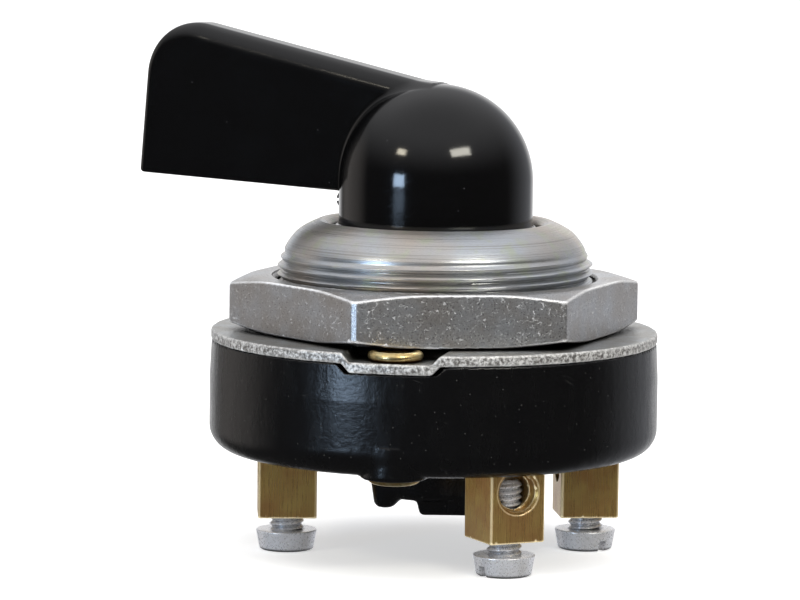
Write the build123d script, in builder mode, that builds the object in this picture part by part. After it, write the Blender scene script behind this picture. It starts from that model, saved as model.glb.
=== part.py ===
# Panel-mounted rotary lever switch: a threaded neck with a thin hexagon nut, a moulded body under a
# pressed flange plate, a lever knob on top and three wire-clamp terminals underneath.
# Millimetres. +Z points up to the lever. The origin is on the neck's axis, on the flange plate's top
# face, which is where the panel seats. Angles are in degrees from +X towards +Y.
from build123d import *
import math
import os

os.makedirs("parts", exist_ok=True)

# ---------------------------------------------------------------- driving dimensions
RUN_FIT = 0.05  # radial clearance of a turning or sliding fit

# Flange plate, pressed from sheet, with a sunk pan for each rivet
PLATE_R = 25.4
PLATE_T = 1.2
PAN_DEPTH = 1.0
PAN_TOP_W = 11.4
PAN_FLOOR_W = 8.8
PAN_START_R = 18.4
PAN_WALL = 0.9
PLATE_EDGE_R = 0.35

# Threaded neck (M36 x 1) and panel nut (41 across flats)
THREAD_R = 17.9
THREAD_TOP = 7.9
NECK_STEP = 0.28
CAP_R = 17.42
CAP_FOOT = 8.1
CAP_TOP = 12.4
CAP_CREST_R = 13.3
CAP_SWEEP = (15.85, 11.0)  # radius and height of a point half-way along the cap's curve
CAP_RIM_H = 0.4
MOUTH_R = 12.0
MOUTH_LIP_DROP = 0.6
MOUTH_FLOOR = 8.6
WEB_FOOT = 6.2
UPPER_BORE_R = 14.0
LOWER_BORE_R = 15.0
SHOULDER_Z = 3.8
SPIGOT_R = 16.4
STAKE_R = 17.1
STAKE_Z = -1.9
NUT_FLATS = 40.8
NUT_FOOT = 0.2
NUT_TOP = 6.1
NUT_ANGLE = 7.46
NUT_FACE_R = 20.9
NUT_CORNER_DROP = 0.75
NUT_BORE_CHAMFER = 0.4

# Moulded body
BODY_R = 25.5
BODY_TOP_R = 25.3
BODY_TOP = -PLATE_T
BODY_BOTTOM = -13.7
BODY_EDGE_R = 2.8
CAVITY_R = 16.2
CAVITY_FLOOR = -8.6
LEDGE_R = 17.2
LEDGE_Z = -2.6
RING_T = 0.6
POCKET_W = 6.4
POCKET_L = 8.4
POCKET_SHIFT = 1.5
BOSS_TOP_R = 7.3
BOSS_END_R = 6.3
BOSS_END = -19.0
BOSS_ROUND = 0.8
BOSS_LUG_PLACE = (-5.35, -3.0)
BOSS_LUG_TOP = BODY_BOTTOM - 1.0
BOSS_LUG_TOP_R = 2.0
BOSS_LUG_END = -20.1
BOSS_LUG_END_R = 1.2
BARRIER_TOP_PLACE = (3.75, -2.0)
BARRIER_TOP_SIZE = (13.6, 8.4)
BARRIER_END_PLACE = (4.1, -2.0)
BARRIER_END_SIZE = (11.0, 6.4)
BARRIER_END = -20.7
BARRIER_ROUND = 0.5
BODY_WAIST_DROP = 4.0
NOTCH_GAP = 0.03
NOTCH_SIDE_GAP = 0.2
NOTCH_START_R = 16.8

# Tubular rivets
RIVET_ANGLES = {"rivet_front": 258.5, "rivet_rear": 78.5}
RIVET_PITCH_R = 21.8
RIVET_TUBE_R = 2.0
RIVET_BORE_R = 1.6
RIVET_CURL_R = 0.55
RIVET_CURL_MAJOR = 2.5
RIVET_PAD_R = 3.7
RIVET_PAD_END = -14.0
RIVET_PAD_H = 4.0
RIVET_FOOT_R = 2.9
RIVET_FOOT_T = 0.6
RIVET_FOOT_INNER_R = 1.9
RIVET_FOOT_ARC_R = 1.35
RIVET_FOOT_DISH = 0.2

# Terminals: name -> (angle, pitch radius)
TERMINALS = {"left": (182.95, 16.6), "middle": (-64.59, 18.42), "right": (6.49, 17.71)}
POST_SIDE = 6.67
POST_TOP = -12.0
POST_END = -21.39
POST_TAIL_R = 1.7
WIRE_HOLE_R = 2.2
WIRE_HOLE_Z = -15.7
WIRE_HOLE_DEPTH = 1.235
WIRE_REAR_R = 1.95
WIRE_CHAMFER = 0.35
POST_EDGE = 0.18
POST_SOCKET_GAP = 0.02
TAP_R = 2.03
TAP_TOP = -12.6
SCREW_R = 1.97
SCREW_TIP = -14.6
HEAD_R = 3.5
HEAD_END_R = 3.1
HEAD_TOP = -23.03
HEAD_END = -25.35
HEAD_TOP_EDGE = 0.15
HEAD_END_EDGE = 0.35
SCREW_TIP_CHAMFER = 0.6
SLOT_W = 0.9
SLOT_DEPTH = 1.2
SLOT_ANGLES = {"left": 4.0, "middle": 40.0, "right": -53.0}

# Contacts
STRIP_T = 0.8
STRIP_W = 6.0
STRIP_START_R = 10.6
STRIP_BEYOND_POST = 2.5
STRIP_CORNER_R = 0.8
BUTTON_PITCH_R = 12.6
BUTTON_R = 1.6
BUTTON_TOP = -7.15
BUTTON_EDGE_R = 0.3
TAIL_HEAD_R = 2.3
TAIL_HEAD_T = 0.45
BRIDGE_FOOT = -7.1
BRIDGE_T = 0.8
BRIDGE_INNER_R = 5.4
BRIDGE_RING_R = 10.4
BRIDGE_OUTER_R = 14.2
BRIDGE_START = 222.0
BRIDGE_END = 347.0
BRIDGE_PEG_GAP = 0.08
CONTACT_COIL_FOOT = BRIDGE_FOOT + BRIDGE_T + 0.42
CONTACT_COIL_PITCH = 1.3
CONTACT_COIL_H = 2.62
CONTACT_COIL_R = 6.35
CONTACT_WIRE_R = 0.4

# Lever, spindle and indexing
LEVER_ANGLE = 150.0
LEVER_THROW = 45.0
HUB_R = 11.02
HUB_CENTRE_Z = 16.9
SKIRT_R = 11.45
SKIRT_FOOT = 10.0
SKIRT_TOP = 11.9
SKIRT_EDGE = 0.2
BLADE_T = 6.0
BLADE_REACH = 38.6
BLADE_TIP_LEAN = 1.6  # how far the tip's upper end stands back from its foot
BLADE_FOOT_AT_AXIS = 15.0
BLADE_FOOT_SLOPE = 0.0288
BLADE_TOP_AT_AXIS = 27.86
BLADE_TOP_SLOPE = 0.192
BLADE_CORNER_R = 6.6
BLADE_EDGE_R = 1.0
SPINDLE_R = 5.0
SPINDLE_TOP = 21.5
SPINDLE_FLAT = 4.2
SPINDLE_CHAMFER = 0.6
KNOB_BORE_TOP = 22.0
KNOB_FIT = 0.03
SET_SCREW_R = 0.98
SET_SCREW_Z = 14.15
SET_SCREW_REACH = 12.7
SET_SCREW_CHAMFER = 0.25
SET_SCREW_SLOT_W = 0.35
SET_SCREW_SLOT_DEPTH = 0.6
COLLAR_R = 8.0
COLLAR_FOOT = 4.2
COLLAR_TOP = 5.45
DRIVE_SIDE = 7.0
DRIVE_END = -7.0
PILOT_R = 2.0
PILOT_END = -11.0
PILOT_WELL_FOOT = -11.3
GROOVE_R = 4.2
GROOVE_FOOT = 9.0
GROOVE_TOP = 9.7
CLIP_R = 7.2
CLIP_FIT = 0.02
CLIP_MOUTH_W = 5.0
INDEX_FOOT = 2.8
INDEX_HOLE_R = 1.6
INDEX_FIT = 0.02
INDEX_BORE_R = 5.6
BALL_R = 2.0
BALL_PITCH_R = 9.5
BALL_ANGLES = {"front": 240.0, "rear": 60.0}
BALL_Z = 0.75
ROTOR_R = 13.4
ROTOR_TOP = 2.3
ROTOR_FOOT = -5.2
BALL_WELL_FOOT = -3.6
DETENT_COIL_FOOT = BALL_WELL_FOOT + 0.24
DETENT_COIL_PITCH = 0.8
DETENT_COIL_H = 2.3
DETENT_COIL_R = 1.45
DETENT_WIRE_R = 0.2
SPRING_WELL_INNER_R = 5.3
SPRING_WELL_OUTER_R = 7.4
SPRING_WELL_TOP = -2.8
PEG_R = 0.9
PEG_PITCH_R = 9.0
PEG_END = -7.9
LUG_R = 15.7
LUG_W = 3.2
LUG_H = 2.0
LUG_ROOT = 0.6
STOP_SPREAD = 55.7  # from the lug's mid position to each stop
STOP_PITCH_R = 15.4
STOP_L = 2.2
STOP_W = 2.0


def on_circle(radius, angle):
    """Returns the X and Y of a point on a circle about the neck's axis."""
    return radius * math.cos(math.radians(angle)), radius * math.sin(math.radians(angle))


def radial_plane(radius, angle):
    """Returns the upright plane facing outwards at this radius: local X is tangential, local Y is up."""
    x, y = on_circle(1.0, angle)
    return Plane(origin=(radius * x, radius * y, 0), x_dir=(-y, x, 0), z_dir=(x, y, 0))


def axial_plane(x=0.0, y=0.0, angle=0.0):
    """Returns the upright plane through a vertical axis: local X points along the angle, local Y is up."""
    c, s = on_circle(1.0, angle)
    return Plane(origin=(x, y, 0), x_dir=(c, s, 0), z_dir=(s, -c, 0))


def save(builder, name):
    """Labels a finished piece and writes it."""
    builder.part.label = name
    export_step(builder.part, f"parts/{name}.step")


def trapezoid(low_width, low, top_width, top):
    """Draws an upright trapezoid in the current sketch, centred on local X = 0."""
    Polygon(
        (-low_width / 2, low),
        (low_width / 2, low),
        (top_width / 2, top),
        (-top_width / 2, top),
        align=None,
    )


# ---------------------------------------------------------------- flange plate
PLATE_CUT_FOOT = -4 * PLATE_T  # below the pans, where cuts through the whole plate start
PLATE_CUT_H = 5 * PLATE_T
with BuildPart() as flange_plate:
    with BuildSketch(Plane.XY.offset(-PLATE_T)):
        Circle(PLATE_R)
    extrude(amount=PLATE_T)
    fillet(flange_plate.edges().filter_by(GeomType.CIRCLE).group_by(Axis.Z)[-1], PLATE_EDGE_R)
    for rivet_angle in RIVET_ANGLES.values():
        with BuildSketch(radial_plane(PAN_START_R - PAN_WALL, rivet_angle)):
            trapezoid(PAN_FLOOR_W + PAN_WALL, -PLATE_T - PAN_DEPTH, PAN_TOP_W + PAN_WALL, -PLATE_T / 2)
        extrude(amount=2 * PLATE_R - PAN_START_R, dir=radial_plane(0, rivet_angle).z_dir)
    with BuildSketch(Plane.XY.offset(PLATE_CUT_FOOT)):
        Circle(PLATE_R)
    extrude(amount=PLATE_CUT_H, mode=Mode.INTERSECT)
    for rivet_angle in RIVET_ANGLES.values():
        with BuildSketch(radial_plane(PAN_START_R, rivet_angle)):
            trapezoid(PAN_FLOOR_W, -PAN_DEPTH, PAN_TOP_W, 0)
        extrude(amount=PLATE_R, mode=Mode.SUBTRACT)
        with BuildSketch(Plane.XY.offset(PLATE_CUT_FOOT)):
            with Locations(on_circle(RIVET_PITCH_R, rivet_angle)):
                Circle(RIVET_TUBE_R + RUN_FIT)
        extrude(amount=PLATE_CUT_H, mode=Mode.SUBTRACT)
    with BuildSketch(Plane.XY.offset(PLATE_CUT_FOOT)):
        Circle(SPIGOT_R + RUN_FIT)
    extrude(amount=PLATE_CUT_H, mode=Mode.SUBTRACT)
save(flange_plate, "flange_plate")

# ---------------------------------------------------------------- threaded neck
with BuildPart() as threaded_neck:
    with BuildSketch(Plane.XZ):
        with BuildLine():
            Polyline(
                (LOWER_BORE_R, STAKE_Z),
                (LOWER_BORE_R, SHOULDER_Z),
                (UPPER_BORE_R, SHOULDER_Z),
                (UPPER_BORE_R, WEB_FOOT),
                (SPINDLE_R + RUN_FIT, WEB_FOOT),
                (SPINDLE_R + RUN_FIT, MOUTH_FLOOR),
                (MOUTH_R, MOUTH_FLOOR),
                (MOUTH_R, CAP_TOP - MOUTH_LIP_DROP),
            )
            ThreePointArc(
                (MOUTH_R, CAP_TOP - MOUTH_LIP_DROP),
                (MOUTH_R + 0.75 * MOUTH_LIP_DROP, CAP_TOP - 0.23 * MOUTH_LIP_DROP),
                (CAP_CREST_R, CAP_TOP),
            )
            ThreePointArc((CAP_CREST_R, CAP_TOP), CAP_SWEEP, (CAP_R, CAP_FOOT + CAP_RIM_H))
            Polyline(
                (CAP_R, CAP_FOOT + CAP_RIM_H),
                (CAP_R, CAP_FOOT),
                (CAP_R - NECK_STEP, CAP_FOOT),
                (THREAD_R, THREAD_TOP - NECK_STEP),
                (THREAD_R, 0),
                (SPIGOT_R, 0),
                (SPIGOT_R, -PLATE_T),
                (STAKE_R, STAKE_Z),
                (LOWER_BORE_R, STAKE_Z),
            )
        make_face()
    revolve(axis=Axis.Z)
save(threaded_neck, "threaded_neck")

# ---------------------------------------------------------------- panel nut
with BuildPart() as panel_nut:
    with BuildSketch(Plane.XY.offset(NUT_FOOT)):
        RegularPolygon(NUT_FLATS / 2, 6, major_radius=False, rotation=NUT_ANGLE)
    extrude(amount=NUT_TOP - NUT_FOOT)
    nut_corner_r = NUT_FLATS / 2 / math.cos(math.radians(30))
    nut_bore_r = THREAD_R + RUN_FIT
    with BuildSketch(Plane.XZ):
        Polygon(
            (nut_bore_r, NUT_FOOT + NUT_BORE_CHAMFER),
            (nut_bore_r + NUT_BORE_CHAMFER, NUT_FOOT),
            (NUT_FACE_R, NUT_FOOT),
            (nut_corner_r, NUT_FOOT + NUT_CORNER_DROP),
            (nut_corner_r, NUT_TOP - NUT_CORNER_DROP),
            (NUT_FACE_R, NUT_TOP),
            (nut_bore_r + NUT_BORE_CHAMFER, NUT_TOP),
            (nut_bore_r, NUT_TOP - NUT_BORE_CHAMFER),
            align=None,
        )
    revolve(axis=Axis.Z, mode=Mode.INTERSECT)
save(panel_nut, "panel_nut")

# ---------------------------------------------------------------- moulded body
with BuildPart() as switch_body:
    with BuildSketch(Plane.XZ):
        with BuildLine():
            Polyline(
                (0, BODY_TOP),
                (BODY_TOP_R, BODY_TOP),
                (BODY_R, BODY_TOP - BODY_WAIST_DROP),
                (BODY_R, BODY_BOTTOM + BODY_EDGE_R),
            )
            RadiusArc(
                (BODY_R, BODY_BOTTOM + BODY_EDGE_R),
                (BODY_R - BODY_EDGE_R, BODY_BOTTOM),
                BODY_EDGE_R,
            )
            Polyline((BODY_R - BODY_EDGE_R, BODY_BOTTOM), (0, BODY_BOTTOM), (0, BODY_TOP))
        make_face()
    revolve(axis=Axis.Z)
    # pads that carry the rivets' feet
    with BuildSketch(Plane.XY.offset(RIVET_PAD_END)):
        for rivet_angle in RIVET_ANGLES.values():
            with Locations(on_circle(RIVET_PITCH_R, rivet_angle)):
                Circle(RIVET_PAD_R)
    extrude(amount=RIVET_PAD_H)
    # tapered centre boss, its lug and the barrier between the terminals
    with BuildSketch(Plane.XY.offset(BODY_BOTTOM)):
        Circle(BOSS_TOP_R)
    with BuildSketch(Plane.XY.offset(BOSS_END)):
        Circle(BOSS_END_R)
    loft()
    fillet(switch_body.edges().group_by(Axis.Z)[0], BOSS_ROUND)
    with BuildSketch(Plane.XY.offset(BOSS_LUG_TOP)):
        with Locations(BOSS_LUG_PLACE):
            Circle(BOSS_LUG_TOP_R)
    with BuildSketch(Plane.XY.offset(BOSS_LUG_END)):
        with Locations(BOSS_LUG_PLACE):
            Circle(BOSS_LUG_END_R)
    loft()
    with BuildSketch(Plane.XY.offset(BODY_BOTTOM)):
        with Locations(BARRIER_TOP_PLACE):
            Rectangle(*BARRIER_TOP_SIZE)
    with BuildSketch(Plane.XY.offset(BARRIER_END)):
        with Locations(BARRIER_END_PLACE):
            Rectangle(*BARRIER_END_SIZE)
    loft()
    fillet(switch_body.edges().group_by(Axis.Z)[0], BARRIER_ROUND)
    # contact chamber, ledge for the insulating ring and terminal pockets
    with BuildSketch(Plane.XY.offset(CAVITY_FLOOR)):
        Circle(CAVITY_R)
        for post_angle, post_r in TERMINALS.values():
            pocket_centre = on_circle(post_r - POCKET_SHIFT, post_angle)
            with Locations(Location((*pocket_centre, 0), (0, 0, post_angle))):
                Rectangle(POCKET_L, POCKET_W)
    extrude(amount=BODY_TOP - CAVITY_FLOOR, mode=Mode.SUBTRACT)
    with BuildSketch(Plane.XY.offset(LEDGE_Z)):
        Circle(LEDGE_R)
    extrude(amount=BODY_TOP - LEDGE_Z, mode=Mode.SUBTRACT)
    # two stops that the rotor's lug meets at the ends of its throw
    for side in (-1, 1):
        stop_angle = LEVER_ANGLE + side * STOP_SPREAD
        with BuildSketch(Plane.XY.offset(CAVITY_FLOOR)):
            with Locations(Location((*on_circle(STOP_PITCH_R, stop_angle), 0), (0, 0, stop_angle))):
                Rectangle(STOP_L, STOP_W)
        extrude(amount=LEDGE_Z - CAVITY_FLOOR)
    # bearing for the spindle's pilot
    with BuildSketch(Plane.XY.offset(PILOT_WELL_FOOT)):
        Circle(PILOT_R + RUN_FIT)
    extrude(amount=CAVITY_FLOOR - PILOT_WELL_FOOT, mode=Mode.SUBTRACT)
    # sockets and tail holes of the terminal posts
    for post_angle, post_r in TERMINALS.values():
        post_place = Location((*on_circle(post_r, post_angle), 0), (0, 0, post_angle))
        with BuildSketch(Plane.XY.offset(POST_TOP)):
            with Locations(post_place):
                Rectangle(POST_SIDE + 2 * POST_SOCKET_GAP, POST_SIDE + 2 * POST_SOCKET_GAP)
        extrude(amount=BODY_BOTTOM - POST_TOP - 1, mode=Mode.SUBTRACT)
        with BuildSketch(Plane.XY.offset(POST_TOP)):
            with Locations(post_place):
                Circle(POST_TAIL_R + RUN_FIT)
        extrude(amount=CAVITY_FLOOR - POST_TOP, mode=Mode.SUBTRACT)
    # notches under the plate's pans, and the rivet holes
    for rivet_angle in RIVET_ANGLES.values():
        with BuildSketch(radial_plane(NOTCH_START_R, rivet_angle)):
            trapezoid(
                PAN_FLOOR_W + PAN_WALL + NOTCH_SIDE_GAP,
                BODY_TOP - PAN_DEPTH - NOTCH_GAP,
                PAN_TOP_W + 2 * PAN_WALL + NOTCH_SIDE_GAP,
                BODY_TOP,
            )
        extrude(amount=BODY_R, mode=Mode.SUBTRACT)
        with BuildSketch(Plane.XY.offset(RIVET_PAD_END)):
            with Locations(on_circle(RIVET_PITCH_R, rivet_angle)):
                Circle(RIVET_TUBE_R + RUN_FIT)
        extrude(amount=BODY_TOP - RIVET_PAD_END, mode=Mode.SUBTRACT)
save(switch_body, "switch_body")

# ---------------------------------------------------------------- tubular rivets
for rivet_name, rivet_angle in RIVET_ANGLES.items():
    rivet_x, rivet_y = on_circle(RIVET_PITCH_R, rivet_angle)
    with BuildPart() as rivet:
        with BuildSketch(axial_plane(rivet_x, rivet_y)):
            Polygon(
                (RIVET_BORE_R, RIVET_PAD_END - RIVET_FOOT_T / 2),
                (RIVET_TUBE_R, RIVET_PAD_END - RIVET_FOOT_T / 2),
                (RIVET_TUBE_R, -PAN_DEPTH + RIVET_CURL_R),
                (RIVET_BORE_R, -PAN_DEPTH + RIVET_CURL_R),
                align=None,
            )
            with Locations((RIVET_CURL_MAJOR, -PAN_DEPTH + RIVET_CURL_R)):
                Circle(RIVET_CURL_R)
            with BuildLine():
                Polyline(
                    (RIVET_BORE_R, RIVET_PAD_END),
                    (RIVET_FOOT_R, RIVET_PAD_END),
                )
                RadiusArc(
                    (RIVET_FOOT_R, RIVET_PAD_END),
                    (RIVET_FOOT_INNER_R, RIVET_PAD_END - RIVET_FOOT_T),
                    RIVET_FOOT_ARC_R,
                )
                Polyline(
                    (RIVET_FOOT_INNER_R, RIVET_PAD_END - RIVET_FOOT_T),
                    (RIVET_BORE_R, RIVET_PAD_END - RIVET_FOOT_T + RIVET_FOOT_DISH),
                    (RIVET_BORE_R, RIVET_PAD_END),
                )
            make_face()
        revolve(axis=Axis((rivet_x, rivet_y, 0), (0, 0, 1)))
    save(rivet, rivet_name)

# ---------------------------------------------------------------- terminals
for post_name, (post_angle, post_r) in TERMINALS.items():
    post_x, post_y = on_circle(post_r, post_angle)
    post_place = Location((post_x, post_y, 0), (0, 0, post_angle))

    with BuildPart() as terminal_post:
        with BuildSketch(Plane.XY.offset(POST_END)):
            with Locations(post_place):
                Rectangle(POST_SIDE, POST_SIDE)
        extrude(amount=POST_TOP - POST_END)
        chamfer(terminal_post.edges().filter_by(Axis.Z), POST_EDGE)
        with BuildSketch(Plane.XY.offset(POST_TOP)):
            with Locations(post_place):
                Circle(POST_TAIL_R)
        extrude(amount=CAVITY_FLOOR + STRIP_T - POST_TOP)
        with BuildSketch(Plane.XY.offset(CAVITY_FLOOR + STRIP_T)):
            with Locations(post_place):
                Circle(TAIL_HEAD_R)
        extrude(amount=TAIL_HEAD_T)
        with BuildSketch(Plane.XY.offset(POST_END)):
            with Locations(post_place):
                Circle(TAP_R)
        extrude(amount=TAP_TOP - POST_END, mode=Mode.SUBTRACT)
        with BuildSketch(radial_plane(post_r + POST_SIDE / 2, post_angle)):
            with Locations((0, WIRE_HOLE_Z)):
                Circle(WIRE_HOLE_R)
        extrude(amount=-WIRE_HOLE_DEPTH, mode=Mode.SUBTRACT)
        with BuildSketch(radial_plane(post_r - POST_SIDE, post_angle)):
            with Locations((0, WIRE_HOLE_Z)):
                Circle(WIRE_REAR_R)
        extrude(amount=2 * POST_SIDE, mode=Mode.SUBTRACT)
        with BuildSketch(radial_plane(post_r + POST_SIDE / 2, post_angle)):
            with Locations((0, WIRE_HOLE_Z)):
                Circle(WIRE_HOLE_R + WIRE_CHAMFER)
        extrude(amount=-2 * WIRE_CHAMFER, taper=45, mode=Mode.SUBTRACT)
    save(terminal_post, f"terminal_post_{post_name}")

    with BuildPart() as terminal_screw:
        with BuildSketch(axial_plane(post_x, post_y)):
            Polygon(
                (0, SCREW_TIP),
                (SCREW_R - SCREW_TIP_CHAMFER, SCREW_TIP),
                (SCREW_R, SCREW_TIP - SCREW_TIP_CHAMFER),
                (SCREW_R, HEAD_TOP),
                (HEAD_R - HEAD_TOP_EDGE, HEAD_TOP),
                (HEAD_R, HEAD_TOP - HEAD_TOP_EDGE),
                (HEAD_END_R, HEAD_END + HEAD_END_EDGE),
                (HEAD_END_R - HEAD_END_EDGE, HEAD_END),
                (0, HEAD_END),
                align=None,
            )
        revolve(axis=Axis((post_x, post_y, 0), (0, 0, 1)))
        with BuildSketch(Plane.XY.offset(HEAD_END)):
            with Locations(Location((post_x, post_y, 0), (0, 0, SLOT_ANGLES[post_name]))):
                Rectangle(3 * HEAD_R, SLOT_W)
        extrude(amount=SLOT_DEPTH, mode=Mode.SUBTRACT)
    save(terminal_screw, f"terminal_screw_{post_name}")

    with BuildPart() as fixed_contact:
        strip_end_r = post_r + STRIP_BEYOND_POST
        strip_mid_r = (STRIP_START_R + strip_end_r) / 2
        strip_place = Location((*on_circle(strip_mid_r, post_angle), 0), (0, 0, post_angle))
        with BuildSketch(Plane.XY.offset(CAVITY_FLOOR)):
            with Locations(strip_place):
                RectangleRounded(strip_end_r - STRIP_START_R, STRIP_W, STRIP_CORNER_R)
            with Locations(post_place):
                Circle(POST_TAIL_R + POST_SOCKET_GAP, mode=Mode.SUBTRACT)
        extrude(amount=STRIP_T)
        with BuildSketch(Plane.XY.offset(CAVITY_FLOOR + STRIP_T)):
            with Locations(on_circle(BUTTON_PITCH_R, post_angle)):
                Circle(BUTTON_R)
        extrude(amount=BUTTON_TOP - CAVITY_FLOOR - STRIP_T)
        fillet(fixed_contact.edges().group_by(Axis.Z)[-1], BUTTON_EDGE_R)
    save(fixed_contact, f"fixed_contact_{post_name}")

# ---------------------------------------------------------------- insulating ring
with BuildPart() as insulating_ring:
    with BuildSketch(Plane.XY.offset(LEDGE_Z)):
        Circle(LEDGE_R - RUN_FIT)
        Circle(UPPER_BORE_R, mode=Mode.SUBTRACT)
    extrude(amount=RING_T)
save(insulating_ring, "insulating_ring")

# ---------------------------------------------------------------- lever knob
blade_plane = axial_plane(angle=LEVER_ANGLE)
blade_tip_foot = BLADE_FOOT_AT_AXIS + BLADE_FOOT_SLOPE * BLADE_REACH
blade_tip_top_s = BLADE_REACH - BLADE_TIP_LEAN
blade_tip_top = BLADE_TOP_AT_AXIS + BLADE_TOP_SLOPE * blade_tip_top_s
with BuildPart() as lever_knob:
    with BuildSketch(blade_plane) as blade_face:
        Polygon(
            (0, BLADE_FOOT_AT_AXIS),
            (BLADE_REACH, blade_tip_foot),
            (blade_tip_top_s, blade_tip_top),
            (0, BLADE_TOP_AT_AXIS),
            align=None,
        )
        fillet(blade_face.vertices().sort_by(Axis.Y)[-1], BLADE_CORNER_R)
    extrude(amount=BLADE_T / 2, both=True)
    top_edges = (
        lever_knob.faces()
        .filter_by(lambda face: face.normal_at().Z > 0.1 or face.geom_type == GeomType.CYLINDER)
        .edges()
        .filter_by(lambda edge: abs(edge.tangent_at(0.5).dot(blade_plane.z_dir)) < 0.5)
    )
    fillet(top_edges, BLADE_EDGE_R)
    with BuildSketch(Plane.XZ):
        with BuildLine():
            Polyline(
                (0, HUB_CENTRE_Z + HUB_R),
                (0, SKIRT_FOOT),
                (SKIRT_R, SKIRT_FOOT),
                (SKIRT_R, SKIRT_TOP - SKIRT_EDGE),
                (SKIRT_R - SKIRT_EDGE, SKIRT_TOP),
                (HUB_R, SKIRT_TOP),
                (HUB_R, HUB_CENTRE_Z),
            )
            ThreePointArc(
                (HUB_R, HUB_CENTRE_Z),
                (HUB_R * math.sqrt(0.5), HUB_CENTRE_Z + HUB_R * math.sqrt(0.5)),
                (0, HUB_CENTRE_Z + HUB_R),
            )
        make_face()
    revolve(axis=Axis.Z)
    with BuildSketch(Plane.XY.offset(SKIRT_FOOT)):
        Circle(SPINDLE_R + KNOB_FIT)
    extrude(amount=KNOB_BORE_TOP - SKIRT_FOOT, mode=Mode.SUBTRACT)
    with BuildSketch(radial_plane(0, LEVER_ANGLE)):
        with Locations((0, SET_SCREW_Z)):
            Circle(SET_SCREW_R + KNOB_FIT)
    extrude(amount=2 * HUB_R, mode=Mode.SUBTRACT)
save(lever_knob, "lever_knob")

# ---------------------------------------------------------------- set screw of the knob
with BuildPart() as lever_set_screw:
    with BuildSketch(radial_plane(SPINDLE_FLAT, LEVER_ANGLE)):
        with Locations((0, SET_SCREW_Z)):
            Circle(SET_SCREW_R)
    extrude(amount=SET_SCREW_REACH - SPINDLE_FLAT)
    chamfer(lever_set_screw.edges().filter_by(GeomType.CIRCLE), SET_SCREW_CHAMFER)
    with BuildSketch(radial_plane(SET_SCREW_REACH, LEVER_ANGLE)):
        with Locations((0, SET_SCREW_Z)):
            Rectangle(3 * SET_SCREW_R, SET_SCREW_SLOT_W)
    extrude(amount=-SET_SCREW_SLOT_DEPTH, mode=Mode.SUBTRACT)
save(lever_set_screw, "lever_set_screw")

# ---------------------------------------------------------------- spindle
with BuildPart() as spindle:
    with BuildSketch(Plane.XZ):
        Polygon(
            (0, COLLAR_FOOT),
            (COLLAR_R, COLLAR_FOOT),
            (COLLAR_R, COLLAR_TOP),
            (SPINDLE_R, COLLAR_TOP),
            (SPINDLE_R, GROOVE_FOOT),
            (GROOVE_R, GROOVE_FOOT),
            (GROOVE_R, GROOVE_TOP),
            (SPINDLE_R, GROOVE_TOP),
            (SPINDLE_R, SPINDLE_TOP - SPINDLE_CHAMFER),
            (SPINDLE_R - SPINDLE_CHAMFER, SPINDLE_TOP),
            (0, SPINDLE_TOP),
            align=None,
        )
    revolve(axis=Axis.Z)
    with BuildSketch(Plane.XY.offset(DRIVE_END)):
        Rectangle(DRIVE_SIDE, DRIVE_SIDE, rotation=LEVER_ANGLE)
    extrude(amount=COLLAR_FOOT - DRIVE_END)
    with BuildSketch(Plane.XY.offset(PILOT_END)):
        Circle(PILOT_R)
    extrude(amount=DRIVE_END - PILOT_END)
    with BuildSketch(radial_plane(SPINDLE_FLAT, LEVER_ANGLE)):
        with Locations((0, SPINDLE_TOP)):
            Rectangle(3 * SPINDLE_R, 2 * (SPINDLE_TOP - SKIRT_TOP))
    extrude(amount=SPINDLE_R, mode=Mode.SUBTRACT)
save(spindle, "spindle")

# ---------------------------------------------------------------- retaining clip
with BuildPart() as spindle_clip:
    with BuildSketch(Plane.XY.offset(GROOVE_FOOT + RUN_FIT)):
        Circle(CLIP_R)
        Circle(GROOVE_R + CLIP_FIT, mode=Mode.SUBTRACT)
        with Locations((-CLIP_R / 2, 0)):
            Rectangle(CLIP_R, CLIP_MOUTH_W, mode=Mode.SUBTRACT)
    extrude(amount=GROOVE_TOP - GROOVE_FOOT - 2 * RUN_FIT)
save(spindle_clip, "spindle_clip")

# ---------------------------------------------------------------- thrust washer
with BuildPart() as thrust_washer:
    with BuildSketch(Plane.XY.offset(COLLAR_TOP)):
        Circle(COLLAR_R)
        Circle(SPINDLE_R + RUN_FIT, mode=Mode.SUBTRACT)
    extrude(amount=WEB_FOOT - COLLAR_TOP - RUN_FIT)
save(thrust_washer, "thrust_washer")

# ---------------------------------------------------------------- index plate
index_angles = [
    ball_angle + step * LEVER_THROW for ball_angle in BALL_ANGLES.values() for step in (-1, 0, 1)
]
with BuildPart() as index_plate:
    with BuildSketch(Plane.XY.offset(INDEX_FOOT)):
        Circle(LOWER_BORE_R - INDEX_FIT)
        Circle(INDEX_BORE_R, mode=Mode.SUBTRACT)
        for index_angle in index_angles:
            with Locations(on_circle(BALL_PITCH_R, index_angle)):
                Circle(INDEX_HOLE_R, mode=Mode.SUBTRACT)
    extrude(amount=SHOULDER_Z - INDEX_FOOT)
save(index_plate, "index_plate")

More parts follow.
